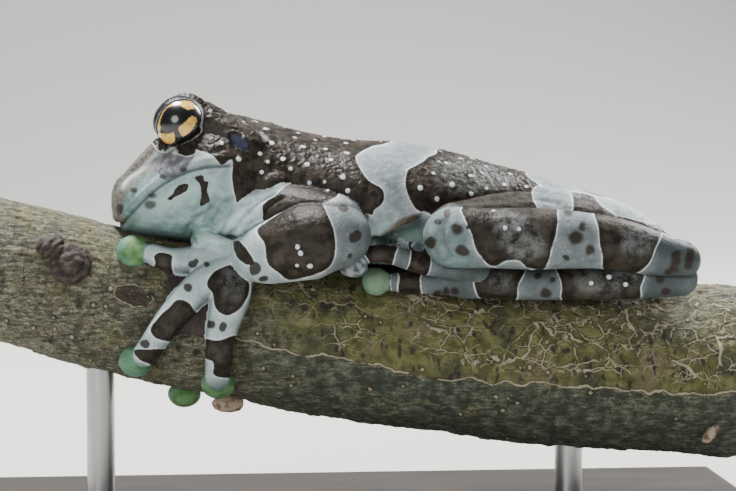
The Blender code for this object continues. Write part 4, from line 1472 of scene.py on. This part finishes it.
class Graph:
    # a material's nodes
    def __init__(self, title):
        self.material = bpy.data.materials.new(title)
        self.material.use_nodes = True
        self.tree = self.material.node_tree
        self.shader = self.tree.nodes["Principled BSDF"]

    def set(self, socket, value):
        if isinstance(value, Wire):
            self.tree.links.new(value.socket, socket)
        elif isinstance(value, tuple) and len(value) == 3 and socket.type == "RGBA":
            socket.default_value = (*value, 1)
        else:
            socket.default_value = value

    def node(self, kind, settings=None, inputs=None, output=0):
        made = self.tree.nodes.new(kind)
        for key, value in (settings or {}).items():
            setattr(made, key, value)
        for key, value in (inputs or {}).items():
            self.set(made.inputs[key], value)
        return Wire(self, made.outputs[output])

    def field(self, title):
        return self.node("ShaderNodeAttribute", {"attribute_name": title}, {}, "Fac")

    def mix(self, factor, first, second):
        return self.node(
            "ShaderNodeMix", {"data_type": "RGBA"}, {0: factor, 6: first, 7: second}, 2
        )

    def layers(self, look, *rows):
        # one colour laid over another, each as far as its factor says
        for factor, colour in rows:
            look = self.mix(factor, look, colour)
        return look

    def noise(self, size, detail=3.0, stretch=(1, 1, 1), roughness=0.5):
        # from 0 to 1, with features of about size mm
        where = self.node("ShaderNodeTexCoord", {}, {}, "Object")
        where = self.node("ShaderNodeMapping", {}, {0: where, 3: tuple(1000 / s for s in stretch)})
        values = {"Vector": where, "Scale": 1 / size, "Detail": detail, "Roughness": roughness}
        return self.node("ShaderNodeTexNoise", {}, values)

    def cells(self, size, stretch=(1, 1, 1), bent=0.6):
        # how far a point lies from the border between scattered cells, in parts of size mm
        where = self.node("ShaderNodeTexCoord", {}, {}, "Object")
        values = {"Vector": where, "Scale": 900 / size, "Detail": 2.0}
        sway = self.node("ShaderNodeTexNoise", {}, values, "Color")
        vectors = "ShaderNodeVectorMath"
        sway = self.node(vectors, {"operation": "SUBTRACT"}, {0: sway, 1: (0.5,) * 3})
        values = {0: sway, "Scale": bent * size * mm}
        sway = self.node(vectors, {"operation": "SCALE"}, values)
        where = self.node(vectors, {"operation": "ADD"}, {0: where, 1: sway})
        scale = tuple(1000 / size / s for s in stretch)
        where = self.node("ShaderNodeMapping", {}, {0: where, 3: scale})
        values = {"Vector": where, "Scale": 1.0}
        settings = {"feature": "DISTANCE_TO_EDGE"}
        return self.node("ShaderNodeTexVoronoi", settings, values, "Distance")

    def bump(self, height, strength, distance, under=None):
        inputs = {"Height": height, "Strength": strength, "Distance": distance * mm}
        if under:
            inputs["Normal"] = under
        return self.node("ShaderNodeBump", {}, inputs)

    def finish(self, **inputs):
        for key, value in inputs.items():
            self.set(self.shader.inputs[key.replace("_", " ")], value)
        return self.material


def tone(*levels):
    # a colour given by its 8-bit levels, as Blender's linear light
    parts = [level / 255 for level in levels]
    return tuple(v / 12.92 if v < 0.0405 else ((v + 0.055) / 1.055) ** 2.4 for v in parts)


skinLook = {
    "brown": tone(43, 37, 31),
    "brownLight": tone(68, 62, 56),
    "brownDeep": tone(27, 22, 18),
    "pale": tone(151, 158, 161),
    "paleDim": tone(110, 117, 121),
    "shade": tone(68, 75, 76),
    "mint": tone(134, 162, 160),
    "mintDeep": tone(88, 126, 118),
    # the chest's whitish mint, also used for painted light on the low saddle and painted highlights
    # on the jaw
    "chest": tone(196, 220, 218),
    "spot": tone(46, 39, 33),
    "white": tone(206, 214, 216),
    "web": tone(62, 54, 54),
    "beige": tone(128, 120, 108),
    "beigeDark": tone(78, 70, 60),
    "lavender": tone(92, 88, 92),
    "lavenderLight": tone(146, 148, 154),
    "flank": tone(92, 66, 36),
    # green of the flank's hollow, darkened by painted shade
    "hollow": tone(52, 68, 60),
    "disc": tone(72, 108, 58),
    "discPale": tone(104, 138, 96),
    "discEdge": tone(92, 136, 122),
    "thumb": tone(140, 164, 120),
    # grey of the tucked toes' discs, partly painted shade
    "toeDisc": tone(72, 84, 88),
    "firstToe": tone(124, 144, 124),
    "drum": tone(58, 62, 80),
    "lidDark": tone(40, 39, 44),
    "lidLine": tone(150, 156, 162),
    # greyish cloud colour, also used for the knuckle's painted sheen
    "cloudAndSheen": tone(114, 120, 120),
    # painted shade in folds, grooves and pits
    "crease": tone(16, 14, 13),
}


def skinMaterial():
    g = Graph("frog_skin")
    c, field = skinLook, g.field
    broad, middling, fine = g.noise(5.0, 3), g.noise(1.3, 4), g.noise(0.35, 3)
    grainy = g.noise(0.14, 3, roughness=0.7)
    unevenly = fine - 0.5
    # brown: mottled, deeper towards its edges, with greyish clouds and a painted sheen on the
    # knuckle
    brown = field("brown") + unevenly * 0.22
    shift = (broad * 0.7 + middling * 0.5 - brown.step(0.9, 0.0) * 0.3).step(0.45, 0.85)
    clouded = field("cloudAndSheen") * (middling * 0.6 + fine * 0.4).step(0.34, 0.7)
    brownTone = g.layers(
        c["brown"],
        (shift, c["brownLight"]),
        (middling.step(0.52, 0.36) * 0.6, c["brownDeep"]),
        (clouded * 0.8, c["cloudAndSheen"]),
    )
    # pale: bluish white with dimmer patches, mint on the throat and in hollows
    dull = middling.step(0.6, 0.36) * 0.45 + broad.step(0.6, 0.4) * 0.25
    dull = dull + grainy.step(0.58, 0.38) * 0.3 + fine.step(0.56, 0.4) * 0.25
    mint = (field("mint") * 1.3 + (broad - 0.5) * 0.5 - 0.05).step(0.0, 1.0)
    mintTone = g.mix(middling.step(0.62, 0.38) * 0.7, c["mint"], c["mintDeep"])
    # bright holds the chest's and hand's pale colour, painted light on the low saddle and painted
    # highlight bands on the jaw
    bright = field("chest") * (0.6 + middling * 0.7) + field("jawHighlight") * (0.2 + broad * 0.7)
    faint = field("chest") * (middling.step(0.5, 0.66) * 0.5 + fine.step(0.5, 0.62) * 0.25)
    beige = g.mix((fine * 0.6 + grainy * 0.4).step(0.54, 0.4), c["beige"], c["beigeDark"])
    lavender = g.mix(middling.step(0.45, 0.7), c["lavender"], c["lavenderLight"])
    inLavender = (field("lavender") * 1.5 + unevenly * 0.9).step(0.35, 0.9)
    smudge = (field("smudge") * 1.2 + (middling - 0.5) * 0.5).step(0.2, 0.95)
    rim = (field("rim") + unevenly * 0.12 + 0.13).size().step(0.15, 0.03)
    spotted = (field("spotted") + unevenly * 0.3 * field("spotted")).step(0.05, 0.8)
    paleTone = g.layers(
        c["pale"],
        (dull, c["paleDim"]),
        (mint * 0.8, mintTone),
        (bright.step(0.0, 1.0), c["chest"]),
        (faint, c["pale"]),
        ((fine * 0.6 + middling * 0.5).step(0.6, 0.76) * 0.4, c["white"]),
        (field("rim").step(-1.3, -0.1) * 0.3, c["white"]),
        (field("thumb") * 0.8, c["thumb"]),
        # painted shade, strongest on the feet and heel
        (field("paintedShade") * (0.7 + (broad - 0.5) * 0.8), c["shade"]),
        (field("beige") * 0.85, beige),
        (inLavender * 0.9, lavender),
        (smudge * 0.8, c["brown"]),
        # painted highlights along the canthus and before the eardrum
        (field("line") * 0.75, c["white"]),
        (rim * middling.step(0.3, 0.5) * 0.75, c["white"]),
        (spotted * 0.94, c["spot"]),
    )
    # discs: green with a bluish edge, and the tucked toes' discs grey with painted shade
    disc = g.layers(
        c["disc"],
        (middling.step(0.35, 0.65), c["discPale"]),
        (broad.step(0.5, 0.6) * 0.6, c["discEdge"]),
        (field("leading") * 0.7, c["discEdge"]),
        (field("disc").step(0.98, 0.4), c["discEdge"]),
        (field("firstToe") * 0.6, c["firstToe"]),
        (field("toeDisc").step(0.1, 0.5), g.mix(middling.step(0.4, 0.6), c["toeDisc"], c["pale"])),
    )
    look = g.layers(
        paleTone,
        (brown.step(-0.05, 0.07), brownTone),
        (field("web") * 0.95, g.mix(middling.step(0.4, 0.6) * 0.6, c["web"], c["brown"])),
        # the flank's hollow: its green tone, darkened by painted shade
        (field("hollow") * 0.75, c["hollow"]),
        (field("flank") * 0.9, g.mix(fine.step(0.4, 0.6), c["flank"], c["brown"])),
        (field("lidDark") * 0.9, c["lidDark"]),
        (field("lidLine").step(0.3, 0.9) * 0.85, c["lidLine"]),
        # white warts; those along the crest also stand in for painted glints
        ((field("wart") + unevenly * 0.25).step(0.42, 0.72), c["white"]),
        (field("drum") * 0.9, c["drum"]),
        (field("disc").step(0.1, 0.5), disc),
        # painted shade in folds, grooves and pits
        (field("grooveShade") * 0.85, c["crease"]),
    )
    grain = g.bump(grainy, 0.3, 0.07)
    pebbles = g.bump(g.noise(0.5, 3, roughness=0.6), 0.7, 0.2, grain)
    wet = field("wet") * (1 - field("disc"))
    return g.finish(
        Base_Color=look,
        Roughness=0.46 + (middling - 0.5) * 0.2 - wet * 0.18,
        Normal=pebbles,
        Specular_IOR_Level=0.12,
        Subsurface_Weight=0.05,
        Subsurface_Radius=(0.9, 0.7, 0.6),
        Subsurface_Scale=0.5 * mm,
    )


eyeLook = {
    "gold": tone(236, 198, 96),
    "amber": tone(218, 164, 74),
    "vein": tone(150, 92, 40),
    "goldEdge": tone(150, 96, 44),
    "black": tone(12, 10, 10),
    "pupil": tone(4, 5, 8),
}


def eyeMaterial():
    g = Graph("frog_eye")
    c = eyeLook
    fine, middling = g.noise(0.22, 4, roughness=0.7), g.noise(0.7, 3)
    gold = (g.field("gold") + (fine - 0.5) * 0.8 + (middling - 0.5) * 0.3).step(-0.02, 0.05)
    golden = g.layers(
        c["gold"],
        (middling.step(0.35, 0.65), c["amber"]),
        (fine.step(0.54, 0.7) * 0.75, c["vein"]),
        (gold.step(1.0, 0.55) * 0.6, c["goldEdge"]),
    )
    look = g.layers(c["black"], (gold, golden), (g.field("pupil").step(-0.01, 0.04), c["pupil"]))
    return g.finish(Base_Color=look, Roughness=0.3, Coat_Weight=1.0, Coat_Roughness=0.015, IOR=1.38)


barkLook = {
    "grey": tone(56, 56, 45),
    "greyLight": tone(136, 134, 114),
    "moss": tone(84, 84, 54),
    "yellow": tone(142, 134, 92),
    "deep": tone(26, 25, 21),
    "low": tone(54, 60, 50),
    "lowLight": tone(98, 104, 88),
    "olive": tone(76, 78, 42),
    "oliveLight": tone(118, 116, 70),
    "tan": tone(112, 100, 78),
    "purple": tone(50, 34, 40),
    "cream": tone(180, 170, 144),
    "pore": tone(172, 160, 128),
    "fleck": tone(168, 166, 140),
    "sawn": tone(176, 154, 120),
    "sawnDark": tone(134, 108, 78),
}


def barkMaterial():
    g = Graph("branch_bark")
    c, field = barkLook, g.field
    broad, middling = g.noise(7.0, 4), g.noise(1.6, 4)
    fibres = g.noise(0.45, 4, (3.5, 0.9, 0.9), 0.65)
    fine, grit = g.noise(0.28, 4, roughness=0.7), g.noise(0.11, 3, roughness=0.75)
    blots = g.noise(1.4, 3, (0.8, 1.0, 1.5))
    veins, threads = g.cells(2.3, (1.7, 1.0, 1.0), 0.8), g.cells(1.0, (1.8, 1.0, 1.0), 0.6)
    speckle = fine * 0.5 + grit * 0.5
    unevenly = fine - 0.5
    # grey bark, with moss, yellow fibres and small flakes, and the dark bark below
    flakes = (field("flakes") + unevenly * 1.2).step(0.5, 1.0)
    dashes = (fibres * 0.75 + middling * 0.25 + field("moss") * 0.06).step(0.6, 0.7)
    low = g.mix((fibres * 0.5 + middling * 0.5).step(0.42, 0.64), c["low"], c["lowLight"])
    flecks = (fine * 0.6 + fibres * 0.4).step(0.54, 0.62) * middling.step(0.4, 0.56)
    grey = g.layers(
        c["grey"],
        ((fibres * 0.5 + grit * 0.5).step(0.4, 0.62), c["greyLight"]),
        (broad.step(0.45, 0.62) * 0.6, c["moss"]),
        (blots.step(0.62, 0.68) * 0.7, c["purple"]),
        (middling.step(0.5, 0.36) * 0.5, c["deep"]),
        (flakes * 0.45, c["tan"]),
        (dashes * 0.75, c["yellow"]),
        (field("low") * 0.9, low),
        (speckle.step(0.48, 0.38) * 0.9, c["deep"]),
        (threads.step(0.07, 0.02) * broad.step(0.5, 0.66) * 0.5, c["yellow"]),
        (flecks * (1 - field("low") * 0.6) * 0.9, c["fleck"]),
    )
    # green bark, with tan and purple patches
    olive = g.layers(
        c["olive"],
        ((middling * 0.7 + grit * 0.3).step(0.38, 0.62), c["oliveLight"]),
        (broad.step(0.5, 0.64) * 0.65, c["tan"]),
        (broad.step(0.47, 0.36) * 0.6, c["low"]),
        (blots.step(0.58, 0.64) * 0.85, c["purple"]),
        (speckle.step(0.46, 0.36) * 0.55, c["deep"]),
    )
    # the sawn ends: growth rings round a small pith, and a darker inner bark
    core = field("core")
    rings = (core * 78 + middling * 5 + broad * 6).wave()
    ringed = (rings * 0.5 + 0.5).step(0.45, 1.0) * (0.35 + middling * 0.6)
    sawn = g.layers(
        c["sawn"],
        (ringed, c["sawnDark"]),
        (speckle.step(0.5, 0.4) * 0.3, c["sawnDark"]),
        (core.step(0.06, 0.03) + core.step(0.88, 0.91) * 0.8, c["tan"]),
    )
    # fine cracks edged with painted shadow, the raised ones over them, then pores with a dark ring
    inVeins = field("veins") * middling.step(0.36, 0.5)
    crack = field("crack") + unevenly * 0.5
    pore = field("pore") + unevenly * 0.9
    look = g.layers(
        grey,
        (field("green") * 0.95, olive),
        (
            field("scar") * middling.step(0.3, 0.5) * 0.85,
            g.mix(fine.step(0.46, 0.66), c["purple"], c["olive"]),
        ),
        # painted shadow beside the fine cream veins
        (veins.step(0.14, 0.05) * inVeins * 0.5, c["deep"]),
        ((veins + unevenly * 0.06).step(0.04, 0.01) * inVeins * 0.7, c["cream"]),
        (threads.step(0.045, 0.01) * inVeins * broad.step(0.45, 0.6) * 0.6, c["cream"]),
        # painted shadow along the cracks' edge
        (crack.step(0.08, 0.35) * 0.45, c["deep"]),
        (crack.step(0.4, 0.75) * 0.9, g.mix(speckle.step(0.36, 0.52), c["tan"], c["cream"])),
        (pore.step(0.1, 0.4) * 0.6, c["deep"]),
        (pore.step(0.5, 0.8) * 0.9, c["pore"]),
        (field("sawn").step(0.35, 0.65), sawn),
    )
    relief = g.bump(speckle * 0.8 + fibres, 0.9, 0.36)
    rough = 0.8 + (middling - 0.5) * 0.2 - field("green") * 0.1
    return g.finish(Base_Color=look, Roughness=rough, Normal=relief, Specular_IOR_Level=0.3)


knotLook = {
    "brown": tone(46, 36, 33),
    "brownLight": tone(74, 61, 55),
    "groove": tone(26, 21, 20),
    "fleck": tone(128, 112, 88),
    "bud": tone(104, 84, 72),
    "budLight": tone(178, 160, 138),
}


def knotMaterial():
    g = Graph("branch_knot")
    c = knotLook
    fine, middling = g.noise(0.28, 4, roughness=0.7), g.noise(1.1, 4)
    look = g.layers(
        c["brown"],
        (middling.step(0.38, 0.66), c["brownLight"]),
        (g.field("groove") * 0.8, c["groove"]),
        (fine.step(0.56, 0.7) * 0.7, c["fleck"]),
        (g.field("bud") * 0.9, g.mix(middling.step(0.36, 0.58), c["bud"], c["budLight"])),
    )
    return g.finish(
        Base_Color=look, Roughness=0.82 + (fine - 0.5) * 0.2, Normal=g.bump(fine, 0.7, 0.25)
    )


standLook = {
    "wood": tone(30, 25, 22),
    "woodLight": tone(54, 44, 37),
    "steel": tone(150, 150, 150),
    "steelLight": tone(190, 190, 188),
}


def plinthMaterial():
    g = Graph("stand_base")
    grain = g.noise(1.1, 4, (14, 1, 1), 0.6)
    look = g.mix(grain.step(0.35, 0.7), standLook["wood"], standLook["woodLight"])
    return g.finish(
        Base_Color=look, Roughness=0.42 + (grain - 0.5) * 0.2, Normal=g.bump(grain, 0.15, 0.08)
    )


def steelMaterial():
    g = Graph("stand_rod")
    brushed = g.noise(0.35, 3, (1, 1, 12))
    return g.finish(
        Base_Color=g.mix(brushed, standLook["steel"], standLook["steelLight"]),
        Metallic=1.0,
        Roughness=0.26 + brushed * 0.16,
        Normal=g.bump(brushed, 0.06, 0.03),
    )


finishes = {
    "skin": skinMaterial(),
    "eye": eyeMaterial(),
    "bark": barkMaterial(),
    "knot": knotMaterial(),
    "stand_base": plinthMaterial(),
    "stand_rod": steelMaterial(),
}
parts = ("upper_arm", "forearm", "hand", "thigh", "shank", "foot")
flesh = ["head", "torso"] + [part + side for part in parts for side in ("_left", "_right")]
dressing = (  # each piece, its finish, its slot and the solids that it takes the place of
    (skin, "skin", "skin", flesh),
    (eyes[0], "eye", "eye", ["eye_left"]),
    (eyes[1], "eye", "eye", ["eye_right"]),
    (bark, "bark", "bark", ["perch_branch"]),
    (knot, "knot", "bark", []),
    (plinth, "stand_base", "stand_base", ["stand_base"]),
    (rods[0], "stand_rod", "stand_rod", ["stand_rod_front"]),
    (rods[1], "stand_rod", "stand_rod", ["stand_rod_rear"]),
)
for piece, finish, slot, nodes in dressing:
    piece.data.materials.clear()
    piece.data.materials.append(finishes[finish])
    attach(piece, "root")
    if nodes:
        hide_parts(*nodes)
report("materials set")


# floor and light
studio = {
    "floor": 3.0,  # m across
    "wall": (0.9, 0.35, 1.6),  # m behind the frog, radius that joins floor to wall, and height
    "floorColour": tone(196, 196, 192),
    "key": (14.0, 0.22, (-0.12, 0.15, 0.62)),  # watts, m across, place
    "fill": (4.0, 0.5, (-0.4, -0.78, 0.34)),
    "rim": (6.0, 0.3, (0.45, 0.45, 0.40)),
    "aim": (0, 0, 0.048),
    "sky": 0.2,
    "skyColour": (0.9, 0.95, 1.0, 1),
}


def buildFloor():
    # a floor that curves up into a wall behind the frog
    behind, bend, top = studio["wall"]
    half = studio["floor"] / 2
    profile, steps = [(-half, 0.0), (behind - bend, 0.0)], 12
    for k in range(1, steps + 1):
        turn = math.pi / 2 * k / steps
        profile.append((behind - bend + bend * math.sin(turn), bend - bend * math.cos(turn)))
    profile.append((behind, top))
    shape = bmesh.new()
    rows = [[shape.verts.new((side * half, y, z)) for y, z in profile] for side in (-1, 1)]
    for k in range(len(profile) - 1):
        shape.faces.new((rows[0][k], rows[1][k], rows[1][k + 1], rows[0][k + 1]))
    mesh = bpy.data.meshes.new("floor")
    shape.to_mesh(mesh)
    shape.free()
    mesh.shade_smooth()
    made = bpy.data.objects.new("floor", mesh)
    bpy.context.scene.collection.objects.link(made)
    g = Graph("floor")
    made.data.materials.append(g.finish(Base_Color=studio["floorColour"], Roughness=0.9))


def addLight(title, watts, across, place):
    light = bpy.data.lights.new(title, "AREA")
    light.energy = watts
    light.shape = "DISK"
    light.size = across
    lamp = bpy.data.objects.new(title, light)
    bpy.context.scene.collection.objects.link(lamp)
    lamp.location = place
    towards = Vector(place) - Vector(studio["aim"])
    lamp.rotation_euler = towards.to_track_quat("Z", "Y").to_euler()


buildFloor()
for title in ("key", "fill", "rim"):
    addLight(title, *studio[title])
world = bpy.data.worlds.new("studio")
world.use_nodes = True
backdrop = world.node_tree.nodes["Background"]
backdrop.inputs["Color"].default_value = studio["skyColour"]
backdrop.inputs["Strength"].default_value = studio["sky"]
bpy.context.scene.world = world


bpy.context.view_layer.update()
report("scene ready")
